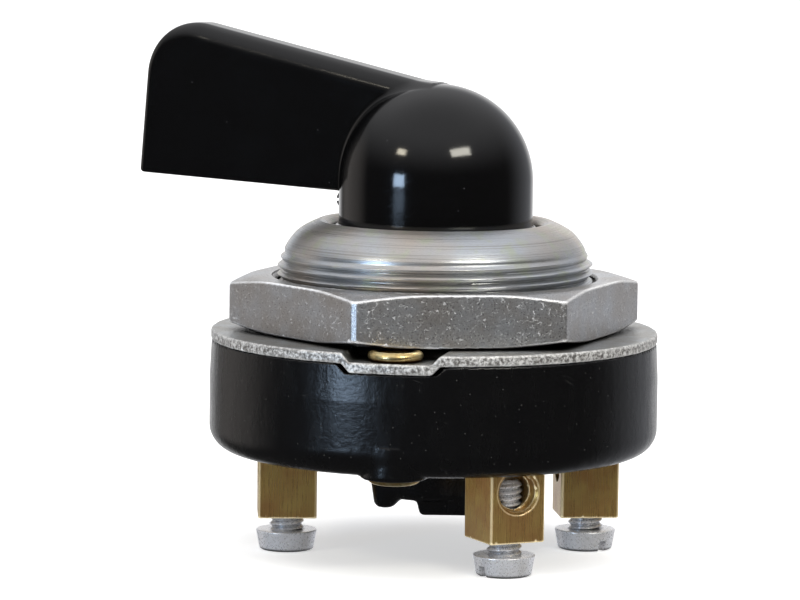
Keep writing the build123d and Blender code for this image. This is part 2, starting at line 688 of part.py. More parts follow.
# ---------------------------------------------------------------- rotor
with BuildPart() as rotor:
    with BuildSketch(Plane.XY.offset(ROTOR_FOOT)):
        Circle(ROTOR_R)
        Rectangle(
            DRIVE_SIDE + 2 * KNOB_FIT, DRIVE_SIDE + 2 * KNOB_FIT, rotation=LEVER_ANGLE, mode=Mode.SUBTRACT
        )
    extrude(amount=ROTOR_TOP - ROTOR_FOOT)
    with BuildSketch(Plane.XY.offset(ROTOR_FOOT)):
        Circle(SPRING_WELL_OUTER_R)
        Circle(SPRING_WELL_INNER_R, mode=Mode.SUBTRACT)
    extrude(amount=SPRING_WELL_TOP - ROTOR_FOOT, mode=Mode.SUBTRACT)
    for ball_angle in BALL_ANGLES.values():
        with BuildSketch(Plane.XY.offset(BALL_WELL_FOOT)):
            with Locations(on_circle(BALL_PITCH_R, ball_angle)):
                Circle(BALL_R + RUN_FIT)
        extrude(amount=ROTOR_TOP - BALL_WELL_FOOT, mode=Mode.SUBTRACT)
    with BuildSketch(Plane.XY.offset(ROTOR_FOOT)):
        lug_centre = on_circle((ROTOR_R + LUG_R - LUG_ROOT) / 2, LEVER_ANGLE)
        with Locations(Location((*lug_centre, 0), (0, 0, LEVER_ANGLE))):
            Rectangle(LUG_R - ROTOR_R + LUG_ROOT, LUG_W)
    extrude(amount=LUG_H)
    for peg_angle in (LEVER_ANGLE, LEVER_ANGLE + 180):
        with BuildSketch(Plane.XY.offset(PEG_END)):
            with Locations(on_circle(PEG_PITCH_R, peg_angle)):
                Circle(PEG_R)
        extrude(amount=ROTOR_FOOT - PEG_END)
save(rotor, "rotor")

# ---------------------------------------------------------------- detent balls and springs
for ball_name, ball_angle in BALL_ANGLES.items():
    ball_x, ball_y = on_circle(BALL_PITCH_R, ball_angle)
    with BuildPart() as detent_ball:
        with Locations((ball_x, ball_y, BALL_Z)):
            Sphere(BALL_R)
    save(detent_ball, f"detent_ball_{ball_name}")

    with BuildPart() as detent_spring:
        with BuildLine(Plane(origin=(ball_x, ball_y, DETENT_COIL_FOOT))) as detent_coil:
            Helix(DETENT_COIL_PITCH, DETENT_COIL_H, DETENT_COIL_R)
        with BuildSketch(Plane(origin=detent_coil.line @ 0, z_dir=detent_coil.line % 0)):
            Circle(DETENT_WIRE_R)
        sweep(is_frenet=True)
    save(detent_spring, f"detent_spring_{ball_name}")

# ---------------------------------------------------------------- moving contact and its spring
with BuildPart() as contact_bridge:
    with BuildSketch(Plane.XY.offset(BRIDGE_FOOT)):
        Circle(BRIDGE_RING_R)
        with BuildLine():
            bridge_arc = CenterArc((0, 0), BRIDGE_OUTER_R, BRIDGE_START, BRIDGE_END - BRIDGE_START)
            Line(bridge_arc @ 1, (0, 0))
            Line((0, 0), bridge_arc @ 0)
        make_face()
        Circle(BRIDGE_INNER_R, mode=Mode.SUBTRACT)
        for peg_angle in (LEVER_ANGLE, LEVER_ANGLE + 180):
            with Locations(on_circle(PEG_PITCH_R, peg_angle)):
                Circle(PEG_R + BRIDGE_PEG_GAP, mode=Mode.SUBTRACT)
    extrude(amount=BRIDGE_T)
save(contact_bridge, "contact_bridge")

with BuildPart() as contact_spring:
    with BuildLine(Plane.XY.offset(CONTACT_COIL_FOOT)) as contact_coil:
        Helix(CONTACT_COIL_PITCH, CONTACT_COIL_H, CONTACT_COIL_R)
    with BuildSketch(Plane(origin=contact_coil.line @ 0, z_dir=contact_coil.line % 0)):
        Circle(CONTACT_WIRE_R)
    sweep(is_frenet=True)
save(contact_spring, "contact_spring")
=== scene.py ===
# Panel-mounted rotary lever switch, dressed for the library: turned and pressed zinc, black mouldings,
# drawn brass terminals. Shapes are worked out in millimetres and made in metres, in the frame's axes:
# +Z up to the lever, the origin on the neck's axis at the flange plate's top face.
import math

import bpy
import numpy as np
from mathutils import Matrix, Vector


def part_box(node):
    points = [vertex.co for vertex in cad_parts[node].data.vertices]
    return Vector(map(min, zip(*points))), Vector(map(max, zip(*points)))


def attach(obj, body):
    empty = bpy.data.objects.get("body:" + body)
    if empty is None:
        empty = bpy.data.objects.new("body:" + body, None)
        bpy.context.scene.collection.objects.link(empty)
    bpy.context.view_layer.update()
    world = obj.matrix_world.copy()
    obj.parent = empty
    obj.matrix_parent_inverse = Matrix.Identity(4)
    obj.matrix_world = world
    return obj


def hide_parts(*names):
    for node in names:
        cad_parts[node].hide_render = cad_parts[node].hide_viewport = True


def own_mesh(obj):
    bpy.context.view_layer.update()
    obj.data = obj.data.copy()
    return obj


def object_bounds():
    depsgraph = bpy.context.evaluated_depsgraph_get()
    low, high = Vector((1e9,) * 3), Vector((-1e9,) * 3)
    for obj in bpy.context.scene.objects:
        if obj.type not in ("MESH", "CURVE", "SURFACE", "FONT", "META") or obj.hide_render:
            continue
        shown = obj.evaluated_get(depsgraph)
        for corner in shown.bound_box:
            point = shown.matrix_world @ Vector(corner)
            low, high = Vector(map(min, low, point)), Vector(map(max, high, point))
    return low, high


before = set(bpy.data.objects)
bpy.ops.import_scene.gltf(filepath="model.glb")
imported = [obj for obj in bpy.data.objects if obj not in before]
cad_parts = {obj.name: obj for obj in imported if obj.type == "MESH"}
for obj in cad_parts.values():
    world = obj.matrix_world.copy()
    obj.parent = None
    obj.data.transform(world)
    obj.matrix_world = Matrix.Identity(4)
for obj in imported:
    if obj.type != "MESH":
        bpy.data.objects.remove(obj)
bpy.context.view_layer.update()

import openvdb
from mathutils import Matrix, Vector

MM = 0.001

# ---------------------------------------------------------------- named sizes, in millimetres and degrees
LEVER_ANGLE = 150.0
HUB_R = 11.02
HUB_CENTRE_Z = 16.9
SKIRT_R = 11.45
SKIRT_TOP = 11.9
SKIRT_EDGE_R = 0.22
SKIRT_FILLET_R = 0.15
BLADE_HALF_T = 3.0
BLADE_REACH = 38.6
BLADE_TIP_LEAN = 0.085
BLADE_FOOT_AT_AXIS = 15.0
BLADE_FOOT_SLOPE = 0.0288
BLADE_TOP_AT_AXIS = 27.86
BLADE_TOP_SLOPE = 0.192
BLADE_CORNER_R = 6.9
BLADE_EDGE_R = 2.2
BLADE_TIP_EDGE_R = 1.05
BLADE_FOOT_EDGE_R = 0.45
BLADE_FILLET_R = 0.7
KNOB_BORE_R = 5.03
KNOB_BORE_TOP = 22.0
KNOB_BORE_EDGE_R = 0.2
SET_SCREW_HOLE_R = 1.0
SET_SCREW_Z = 14.15
SET_SCREW_EDGE_R = 0.12

THREAD_PITCH = 1.0
THREAD_DEPTH = 0.55
THREAD_TOP = 7.9
THREAD_PHASE = 0.25
THREAD_END = THREAD_TOP + 1.7
THREAD_END_FADE = 1.6
THREAD_START_FADE = 0.4
THREAD_WALL_R = 16.9  # anything further out on the neck is its outer wall
CAP_R = 17.42
CAP_FOOT = 8.1
CAP_RIM_H = 0.4
CAP_CREST_R = 13.3
CAP_CREST_H = 0.9
CAP_SWEEP = ((16.75, 9.85), (15.7, 11.12), (14.4, 11.93))  # radius and height of points up its curve
MOUTH_R = 12.0
MOUTH_FLOOR = 8.6
MOUTH_FLOOR_R = 0.2
WEB_FOOT = 6.2
WEB_BORE_R = 5.05
UPPER_BORE_R = 14.0
LOWER_BORE_R = 15.0
SHOULDER_Z = 3.8
SPIGOT_R = 16.4
STAKE_R = 17.1

NUT_FLATS = 40.8
NUT_ANGLE = 7.46
NUT_FACE_R = 20.9
NUT_CORNER_DROP = 0.75
NUT_CORNER_EDGE_R = 0.35
NUT_BLUNT_CORNER = 247.46
NUT_BLUNTING = 0.2
NUT_CHAMFER_EDGE_R = 0.2
NUT_FACE_EDGE_R = 0.1
NUT_BORE_R = 17.97
NUT_BORE_CHAMFER = 0.6

PLATE_T = 1.2
PLATE_EDGE_R = 0.28
PLATE_BORE_ROOM = 0.05
PLATE_RIM_R = (25.08, 25.16)  # where the sheared look begins, and where it is full
SHEAR_WAVE = 0.04
PAN_DEPTH = 1.0
PAN_TOP_W = 11.4
PAN_FLOOR_W = 8.8
PAN_START_R = 18.4
PAN_RAMP = 0.9
PAN_ROOM = 0.03
NOTCH_TOP_W = PAN_TOP_W + 1.2
NOTCH_FLOOR_W = PAN_FLOOR_W + 0.9
NOTCH_START_R = 16.0

BODY_R = 25.5
BODY_TOP_R = 25.3
BODY_TAPER_H = 4.0
BODY_BOTTOM = -13.7
BODY_EDGE_R = 2.8
CAVITY_R = 16.2
CAVITY_FLOOR = -8.6
LEDGE_R = 17.2
LEDGE_Z = -2.6
POCKET_HALF_W = 3.2
POCKET_HALF_L = 4.2
POCKET_SHIFT = 1.5
WELL_R = 2.05
WELL_FOOT = -11.3
STOP_ANGLE = 55.7
STOP_R = 15.4
STOP_HALF_L = 1.1
STOP_HALF_W = 1.0
BOSS_TOP_R = 7.3
BOSS_END_R = 6.3
BOSS_END = -19.0
LUG_PLACE = (-5.35, -3.0)
LUG_TOP = BODY_BOTTOM - 1
LUG_TOP_R = 2.0
LUG_END = -20.1
LUG_END_R = 1.2
BARRIER_TOP_PLACE = (3.75, -2.0)
BARRIER_TOP_HALF = (6.8, 4.2)
BARRIER_END_PLACE = (4.1, -2.0)
BARRIER_END_HALF = (5.5, 3.2)
UNDERSIDE_ROOT = -12.0  # the lug and the barrier begin here, inside the floor

RIVETS = ("rivet_front", "rivet_rear")
RIVET_TUBE_R = 2.0
RIVET_BORE_R = 1.6
RIVET_PAD_R = 3.7
RIVET_PAD_END = -14.0
RIVET_PAD_ROOT = -10.4
RIVET_HOLE_ROOM = 0.05
RIVET_CURL_R = 2.45
RIVET_CURL_FOOT = -0.95
RIVET_CURL_EDGE_R = 2.75
RIVET_CURL_EDGE_RADII = (0.6, 0.55)
RIVET_CURL_UNDER = -0.99
RIVET_FOOT_R = 2.9
RIVET_FOOT_EDGE_R = 0.9
RIVET_FOOT_T = 0.6
RIVET_FOOT_CHAMFER = 0.2

SIDES = ("left", "middle", "right")
POST_SIDE = 6.67
POST_TOP = -12.0
POST_EDGE_R = 0.26
POST_END_EDGE_R = 0.14
POST_ROOM = 0.02
POST_TAIL_R = 1.7
POST_TAIL_ROOM = 0.05
STRIP_TOP = -7.8
TAIL_HEAD_R = 2.3
TAIL_HEAD_HALF_T = 0.225
TAIL_HEAD_EDGE_R = 0.2
WIRE_HOLE_R = 2.2
WIRE_INNER_R = 1.95
WIRE_LEAD_IN = 1.235
WIRE_HOLE_Z = -15.7
WIRE_CHAMFER = 0.35
TAP_R = 2.03
TAP_TOP = -12.6
SCREW_R = 1.97
SCREW_PITCH = 0.7
SCREW_THREAD_DEPTH = 0.34
SCREW_TIP_CHAMFER = 0.6
HEAD_R = 3.5
HEAD_END_R = 3.1
HEAD_TOP = -23.03
HEAD_TOP_EDGE_R = 0.16
HEAD_END_EDGE_R = 0.38
SLOT_HALF_W = 0.45
SLOT_DEPTH = 1.2
SLOT_ANGLES = {"left": 4.0, "middle": 40.0, "right": -53.0}

COIL_WIRE_R = 0.4
COIL_TURNS = 2.0
COIL_STEPS = 72  # rings of points in a turn of the contact spring
COIL_SIDES = 14
COIL_END_SHARE = 0.72  # the wire's thickness at its ground ends
COIL_SHARP = 50.0


# ---------------------------------------------------------------- places, read from the frame
def box_mm(name):
    """A CAD node's lowest and highest corners, in millimetres."""
    low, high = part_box(name)
    return np.array(low) / MM, np.array(high) / MM


def centre_mm(name):
    """The X and Y of a CAD node's middle, in millimetres."""
    low, high = box_mm(name)
    return (low[0] + high[0]) / 2, (low[1] + high[1]) / 2


def polar(x, y):
    """A point's distance and angle from the neck's axis."""
    return math.hypot(x, y), math.atan2(y, x)


NUT_SPAN = (box_mm("panel_nut")[0][2], box_mm("panel_nut")[1][2])
PLATE_R = box_mm("flange_plate")[1][0]
RIVET_PLACES = [centre_mm(name) for name in RIVETS]
POSTS = {side: centre_mm(f"terminal_post_{side}") for side in SIDES}


# ---------------------------------------------------------------- distance functions
def union_round(a, b, radius):
    """Joins two solids with a fillet."""
    inside = np.hypot(np.maximum(radius - a, 0), np.maximum(radius - b, 0))
    return np.maximum(radius, np.minimum(a, b)) - inside


def cut_round(a, b, radius):
    """Keeps what two solids share, with its edge rounded."""
    outside = np.hypot(np.maximum(radius + a, 0), np.maximum(radius + b, 0))
    return np.minimum(-radius, np.maximum(a, b)) + outside


def turned_to(x, y, angle, centre=(0, 0)):
    """X and Y in axes that are turned by an angle about a centre."""
    c, s = math.cos(angle), math.sin(angle)
    return (x - centre[0]) * c + (y - centre[1]) * s, (y - centre[1]) * c - (x - centre[0]) * s


def block(u, v, half_u, half_v, radius):
    """A rectangle's distance, with rounded corners."""
    return cut_round(np.abs(u) - half_u, np.abs(v) - half_v, radius)


def thread_wave(turns):
    """A V thread's depth from 0 on the crest to 1 in the root, with narrow flats on both."""
    flank = np.abs(2 * (turns - np.floor(turns)) - 1)
    return np.clip((flank - 0.1) / 0.8, 0, 1)


def slopes_of(distance, points, reach=0.015):
    """The gradient of a distance function at each point, from values a short reach to each side."""
    columns = []
    for axis in range(3):
        step = np.zeros(3)
        step[axis] = reach
        rise = distance(*(points + step).T) - distance(*(points - step).T)
        columns.append(rise / (2 * reach))
    return np.stack(columns, axis=1)


def sculpt(name, distance, step):
    """Makes a piece of the surface where a distance function is zero, over its CAD node's box.

    The voxel surface is moved onto the exact one in three steps, and takes its normals from it.
    """
    low, high = box_mm(name)
    low = low - 2.5 * step
    counts = np.ceil((high + 2.5 * step - low) / step).astype(int) + 1
    axes = [low[i] + step * np.arange(counts[i]) for i in range(3)]
    x, y, z = np.meshgrid(*axes, indexing="ij", sparse=True)
    field = np.broadcast_to(distance(x, y, z), counts).astype(np.float32)
    grid = openvdb.FloatGrid(background=3 * step)
    grid.copyFromArray(np.ascontiguousarray(np.clip(field, -3 * step, 3 * step)))
    points, triangles, quads = grid.convertToPolygons(isovalue=0.0, adaptivity=0.0)
    points = low + step * points.astype(float)
    for _ in range(3):
        slopes = slopes_of(distance, points)
        steepness = np.maximum((slopes**2).sum(axis=1), 0.25)
        move = slopes * (distance(*points.T) / steepness)[:, None]
        points -= np.clip(move, -step / 2, step / 2)
    mesh = bpy.data.meshes.new(name + "_skin")
    faces = quads.tolist() + triangles.tolist()
    mesh.from_pydata((points * MM).tolist(), [], faces)
    normals = slopes_of(distance, points)
    normals /= np.maximum(np.linalg.norm(normals, axis=1, keepdims=True), 1e-6)
    mesh.shade_smooth()
    mesh.normals_split_custom_set_from_vertices(normals.tolist())
    return add_piece(mesh, name + "_skin")


def lathe(name, profile, segments, centre=(0, 0), radius_at=None, sharp=35.0):
    """Turns a closed profile of (radius, height) points about an upright axis."""
    profile = np.array(profile)
    angles = np.linspace(0, 2 * math.pi, segments, endpoint=False)
    radii = np.repeat(profile[:, :1], segments, axis=1)
    heights = np.repeat(profile[:, 1:], segments, axis=1)
    if radius_at:
        radii = radius_at(radii, heights, angles[None, :])
    x = centre[0] + radii * np.cos(angles)
    y = centre[1] + radii * np.sin(angles)
    points = np.stack([x, y, heights], axis=-1).reshape(-1, 3)
    rows = len(profile)
    faces = []
    for row in range(rows):
        here, above = row * segments, (row + 1) % rows * segments
        for k in range(segments):
            beside = (k + 1) % segments
            faces.append((here + k, here + beside, above + beside, above + k))
    mesh = bpy.data.meshes.new(name)
    mesh.from_pydata((points * MM).tolist(), [], faces)
    mesh.shade_smooth()
    mesh.set_sharp_from_angle(angle=math.radians(sharp))
    return add_piece(mesh, name)


def add_piece(mesh, name):
    """Puts a mesh in the scene as an object."""
    piece = bpy.data.objects.new(name, mesh)
    bpy.context.scene.collection.objects.link(piece)
    return piece


def dress(piece, body, node, material):
    """Gives a finished piece its body, the CAD node it stands for and its material."""
    piece.data.materials.append(material)
    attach(piece, body)
    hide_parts(node)


def line_points(start, end, spacing):
    """Points from start up to, but not at, end."""
    count = max(1, round(math.dist(start, end) / spacing))
    return [
        (start[0] + (end[0] - start[0]) * k / count, start[1] + (end[1] - start[1]) * k / count)
        for k in range(count)
    ]


def arc_points(centre, radii, start, end, count):
    """Points along an elliptical arc from one angle to another, up to, but not at, its end."""
    turns = [math.radians(start + (end - start) * k / count) for k in range(count)]
    return [(centre[0] + radii[0] * math.cos(t), centre[1] + radii[1] * math.sin(t)) for t in turns]


def smooth_run(knots, spacing):
    """Points along a smooth curve through the knots (Catmull-Rom), up to, but not at, the last."""
    padded = [knots[0], *knots, knots[-1]]
    points = []
    for a, b, c, d in zip(padded, padded[1:], padded[2:], padded[3:]):
        count = max(1, round(math.dist(b, c) / spacing))
        for k in range(count):
            t = k / count
            weights = (
                -t / 2 + t * t - t**3 / 2,
                1 - 2.5 * t * t + 1.5 * t**3,
                t / 2 + 2 * t * t - 1.5 * t**3,
                -t * t / 2 + t**3 / 2,
            )
            radius, height = (sum(w * p[i] for w, p in zip(weights, (a, b, c, d))) for i in (0, 1))
            points.append((radius, height))
    return points


# ---------------------------------------------------------------- materials
class Finish:
    """A node-based material. Its methods add nodes and return the socket that holds the result."""

    def __init__(self, name, colour, roughness, metallic=0.0):
        self.material = bpy.data.materials.new(name)
        self.material.use_nodes = True
        self.tree = self.material.node_tree
        self.shader = self.tree.nodes["Principled BSDF"]
        self.shader.inputs["Base Color"].default_value = (*colour, 1)
        self.shader.inputs["Roughness"].default_value = roughness
        self.shader.inputs["Metallic"].default_value = metallic
        self.place = self.tree.nodes.new("ShaderNodeTexCoord").outputs["Object"]
        self.normal = None

    def node(self, kind, settings, inputs):
        """Adds a shader node. An input is a value, or a socket to link to."""
        node = self.tree.nodes.new("ShaderNode" + kind)
        for key, value in settings.items():
            setattr(node, key, value)
        for key, value in inputs.items():
            if isinstance(value, bpy.types.NodeSocket):
                self.tree.links.new(value, node.inputs[key])
            else:
                node.inputs[key].default_value = value
        return node

    def math(self, operation, a, b):
        return self.node("Math", {"operation": operation}, {0: a, 1: b}).outputs[0]

    def stretched(self, stretch, turn=(0, 0, 0)):
        """Object coordinates, turned and then scaled along each axis."""
        settings = {"vector_type": "POINT"}
        inputs = {"Vector": self.place, "Rotation": turn}
        turned = self.node("Mapping", settings, inputs).outputs[0]
        scaled = self.node("VectorMath", {"operation": "MULTIPLY"}, {0: turned, 1: stretch})
        return scaled.outputs[0]

    def flat_length(self, vector):
        """A vector's length in plan."""
        flat = self.node("VectorMath", {"operation": "MULTIPLY"}, {0: vector, 1: (1, 1, 0)}).outputs[0]
        return self.node("VectorMath", {"operation": "LENGTH"}, {0: flat}).outputs["Value"]

    def lathe_lines(self, per_radius, per_height, per_turn):
        """Coordinates that change across a surface turned about the neck's axis, and little around it."""
        parts = self.node("SeparateXYZ", {}, {0: self.place}).outputs
        radius = self.flat_length(self.place)
        turn = self.math("ARCTAN2", parts[1], parts[0])
        inputs = {
            0: self.math("MULTIPLY", radius, per_radius),
            1: self.math("MULTIPLY", turn, per_turn * MM),
            2: self.math("MULTIPLY", parts[2], per_height),
        }
        return self.node("CombineXYZ", {}, inputs).outputs[0]

    def noise(self, vector, scale, detail=3.0, rough=0.5):
        """A cloudy pattern around 0.5, with about as many clouds to a unit as the scale says."""
        inputs = {"Vector": vector, "Scale": scale, "Detail": detail, "Roughness": rough}
        return self.node("TexNoise", {"noise_dimensions": "3D"}, inputs).outputs["Fac"]

    def cells(self, vector, scale):
        """Distance from the middle of scattered cells."""
        inputs = {"Vector": vector, "Scale": scale, "Randomness": 1.0}
        return self.node("TexVoronoi", {"feature": "F1"}, inputs).outputs["Distance"]

    def span(self, value, low, high, to_low=0.0, to_high=1.0):
        """Maps a range of values to another, held at both ends."""
        inputs = {0: value, 1: low, 2: high, 3: to_low, 4: to_high}
        return self.node("MapRange", {"clamp": True}, inputs).outputs[0]

    def distance_out(self):
        """The distance from the neck's axis, in metres."""
        return self.flat_length(self.place)

    def crevice_shade(self, reach, low=0.35, high=0.85):
        """One in deep corners and zero in the open, for painted shade there, from ambient occlusion."""
        occlusion = self.node("AmbientOcclusion", {"samples": 8}, {"Distance": reach * MM})
        return self.span(occlusion.outputs["AO"], low, high, 1.0, 0.0)

    def hairs(self, scale, width):
        """One along thin curly lines, as scratches from tumbling leave, and zero between them."""
        swirl = self.noise(self.place, scale, 1.0)
        off_middle = self.math("ABSOLUTE", self.math("SUBTRACT", swirl, 0.5), 0.0)
        line = self.span(off_middle, 0.0, width, 1.0, 0.0)
        gate = self.span(self.noise(self.place, scale * 1.3, 2), 0.5, 0.54)
        return self.math("MULTIPLY", line, gate)

    def edge_highlight(self, low=0.52, high=0.6):
        """One on outward edges and zero elsewhere, for painted highlights along them."""
        geometry = self.tree.nodes.new("ShaderNodeNewGeometry")
        return self.span(geometry.outputs["Pointiness"], low, high)

    def blend(self, factor, a, b):
        """Mixes two colours, given as tuples or sockets."""
        mix = self.node("Mix", {"data_type": "RGBA"}, {0: factor})
        for slot, value in ((6, a), (7, b)):
            if isinstance(value, bpy.types.NodeSocket):
                self.tree.links.new(value, mix.inputs[slot])
            else:
                mix.inputs[slot].default_value = (*value, 1)
        return mix.outputs[2]

    def relief(self, height, depth, strength=1.0):
        """Adds a bump of a depth in millimetres to those already there."""
        inputs = {"Height": height, "Distance": depth * MM, "Strength": strength}
        if self.normal:
            inputs["Normal"] = self.normal
        self.normal = self.node("Bump", {}, inputs).outputs[0]
        self.tree.links.new(self.normal, self.shader.inputs["Normal"])

    def drive(self, socket, value):
        """Links a result to one of the shader's sockets."""
        self.tree.links.new(value, self.shader.inputs[socket])


def knob_black():
    """Glossy black phenolic moulding, with a faint haze and fine handling scratches."""
    finish = Finish("knob_black", (0.0012, 0.0012, 0.0014), 0.1)
    haze = finish.noise(finish.place, 260, 4)
    grain = finish.noise(finish.place, 4600, 2)
    scratches = finish.noise(finish.stretched((900, 120, 5200), (0.4, 0.2, 0.7)), 1.0, 3)
    shine = finish.span(haze, 0.35, 0.7, 0.09, 0.13)
    finish.drive("Roughness", finish.math("ADD", shine, finish.span(scratches, 0.62, 0.72, 0.0, 0.1)))
    dust = finish.span(finish.cells(finish.place, 520), 0.03, 0.045, 1.0, 0.0)
    finish.drive("Base Color", finish.blend(dust, (0.0012, 0.0012, 0.0014), (0.04, 0.04, 0.042)))
    finish.relief(grain, 0.005, 0.5)
    finish.relief(haze, 0.02, 0.25)
    return finish.material


def body_black():
    """Satin black phenolic moulding: fine grain, flow marks and small rubbed scratches."""
    finish = Finish("body_black", (0.0018, 0.0018, 0.0021), 0.25)
    grain = finish.noise(finish.place, 1900, 4, 0.65)
    flow = finish.noise(finish.stretched((1, 1, 0.3)), 620, 4)
    scratches = finish.noise(finish.stretched((420, 420, 3600), (0.5, -0.3, 0.2)), 1.0, 4, 0.7)
    rub = finish.span(scratches, 0.66, 0.72)
    dust = finish.span(finish.cells(finish.place, 1100), 0.05, 0.1, 1.0, 0.0)
    marks = finish.math("MAXIMUM", finish.math("MULTIPLY", rub, 0.2), finish.math("MULTIPLY", dust, 0.5))
    finish.drive("Base Color", finish.blend(marks, (0.0018, 0.0018, 0.0021), (0.07, 0.07, 0.065)))
    finish.drive("Roughness", finish.span(flow, 0.3, 0.7, 0.2, 0.3))
    finish.relief(grain, 0.035, 0.8)
    finish.relief(flow, 0.07, 0.5)
    return finish.material


def zinc_turned():
    """Bright zinc on a turned steel surface: fine rings, with blue, straw and greenish tints."""
    finish = Finish("zinc_turned", (0.6, 0.6, 0.59), 0.3, 0.88)
    coarse = finish.noise(finish.lathe_lines(4200, 4200, 260), 1.0, 3, 0.6)
    fine = finish.noise(finish.lathe_lines(14000, 14000, 1100), 1.0, 3, 0.6)
    patches = finish.noise(finish.place, 90, 3)
    spots = finish.noise(finish.place, 520, 3)
    grit = finish.noise(finish.place, 5200, 2, 0.6)
    tint = finish.blend(finish.span(patches, 0.4, 0.6), (0.6, 0.54, 0.48), (0.57, 0.6, 0.64))
    tint = finish.blend(finish.span(spots, 0.52, 0.7, 0.0, 0.6), tint, (0.55, 0.6, 0.44))
    shade = finish.blend(finish.span(coarse, 0.32, 0.46, 0.6, 0.0), tint, (0.3, 0.28, 0.26))
    shade = finish.blend(finish.span(grit, 0.3, 0.45, 0.25, 0.0), shade, (0.3, 0.3, 0.3))
    # Painted shade: ambient occlusion darkens the colour in the thread's roots and the corners.
    finish.drive("Base Color", finish.blend(finish.crevice_shade(0.7, 0.25, 0.8), shade, (0.1, 0.095, 0.09)))
    finish.drive("Roughness", finish.span(fine, 0.3, 0.7, 0.24, 0.4))
    finish.relief(coarse, 0.03, 0.9)
    finish.relief(fine, 0.01, 0.8)
    finish.relief(grit, 0.012, 0.6)
    return finish.material


def zinc_plate():
    """Zinc on rolled sheet steel: streaks, greenish patches and a torn, sheared rim."""
    finish = Finish("zinc_plate", (0.5, 0.5, 0.48), 0.36, 1.0)
    streaks = finish.noise(finish.stretched((900, 5200, 900), (0, 0, 0.35)), 1.0, 4, 0.6)
    patches = finish.noise(finish.place, 320, 4)
    speckle = finish.noise(finish.place, 2600, 4, 0.75)
    rim = finish.span(finish.distance_out(), PLATE_RIM_R[0] * MM, PLATE_RIM_R[1] * MM)
    tint = finish.blend(finish.span(patches, 0.38, 0.62), (0.44, 0.43, 0.4), (0.52, 0.54, 0.55))
    face = finish.blend(finish.span(streaks, 0.32, 0.5, 0.6, 0.0), tint, (0.24, 0.22, 0.2))
    torn = finish.blend(finish.span(speckle, 0.42, 0.6), (0.15, 0.14, 0.13), (0.8, 0.79, 0.77))
    shade = finish.blend(rim, face, torn)
    # Painted highlight: the outward edges turn near white and less metallic, so that they show bright.
    edge = finish.edge_highlight(0.52, 0.58)
    shade = finish.blend(edge, shade, (0.92, 0.92, 0.9))
    # Painted shade: ambient occlusion darkens the colour nearly to black in crevices, as in the gap under
    # the nut.
    finish.drive("Base Color", finish.blend(finish.crevice_shade(2.2), shade, (0.03, 0.027, 0.024)))
    dull = finish.math("MAXIMUM", finish.math("MULTIPLY", edge, 0.8), finish.math("MULTIPLY", rim, 0.6))
    finish.drive("Metallic", finish.span(dull, 0.0, 1.0, 0.95, 0.3))
    satin = finish.span(speckle, 0.35, 0.65, 0.26, 0.46)
    finish.drive("Roughness", finish.math("ADD", satin, finish.math("MULTIPLY", rim, 0.1)))
    finish.relief(streaks, 0.02, 0.6)
    finish.relief(speckle, 0.06, 0.9)
    return finish.material


def zinc_nut():
    """Zinc over rolled hexagon bar: satin facets with curly scratches and grit, painted highlights on the
    edges and painted shade in crevices.
    """
    finish = Finish("zinc_nut", (0.54, 0.53, 0.52), 0.32, 1.0)
    speckle = finish.noise(finish.place, 5200, 3, 0.75)
    patches = finish.noise(finish.place, 260, 4)
    pits = finish.span(finish.cells(finish.place, 2200), 0.1, 0.2, 1.0, 0.0)
    hairs = finish.hairs(1500, 0.02)
    tint = finish.blend(finish.span(patches, 0.35, 0.65), (0.5, 0.475, 0.455), (0.57, 0.58, 0.6))
    grit = finish.blend(finish.span(speckle, 0.38, 0.5, 0.3, 0.0), tint, (0.2, 0.185, 0.18))
    marks = finish.math("MAXIMUM", hairs, finish.math("MULTIPLY", pits, finish.span(speckle, 0.5, 0.6)))
    # Bright marks: real scratches and pits, and a painted highlight on the outward edges; both turn near
    # white and less metallic.
    edge = finish.edge_highlight(0.515, 0.55)
    bright = finish.math("MAXIMUM", finish.math("MULTIPLY", marks, 0.65), edge)
    shade = finish.blend(bright, grit, (0.93, 0.93, 0.93))
    # Painted shade: ambient occlusion darkens the colour in crevices.
    finish.drive("Base Color", finish.blend(finish.crevice_shade(1.2), shade, (0.08, 0.07, 0.065)))
    finish.drive("Metallic", finish.span(bright, 0.0, 1.0, 0.88, 0.2))
    finish.drive("Roughness", finish.span(speckle, 0.35, 0.65, 0.26, 0.4))
    finish.relief(speckle, 0.03, 0.9)
    finish.relief(patches, 0.06, 0.3)
    return finish.material


def zinc_screw():
    """Bright zinc on small turned screws, with satin sides."""
    finish = Finish("zinc_screw", (0.66, 0.67, 0.7), 0.3, 0.62)
    grain = finish.noise(finish.place, 4200, 4, 0.7)
    patches = finish.noise(finish.place, 700, 3)
    shade = finish.blend(finish.span(patches, 0.35, 0.65), (0.8, 0.8, 0.82), (0.88, 0.89, 0.93))
    shade = finish.blend(finish.span(grain, 0.3, 0.5, 0.12, 0.0), shade, (0.42, 0.42, 0.44))
    # Painted shade: ambient occlusion darkens the colour in the slot and the corners.
    finish.drive("Base Color", finish.blend(finish.crevice_shade(0.6), shade, (0.1, 0.1, 0.1)))
    finish.drive("Roughness", finish.span(grain, 0.3, 0.7, 0.24, 0.34))
    finish.relief(grain, 0.004, 0.6)
    return finish.material


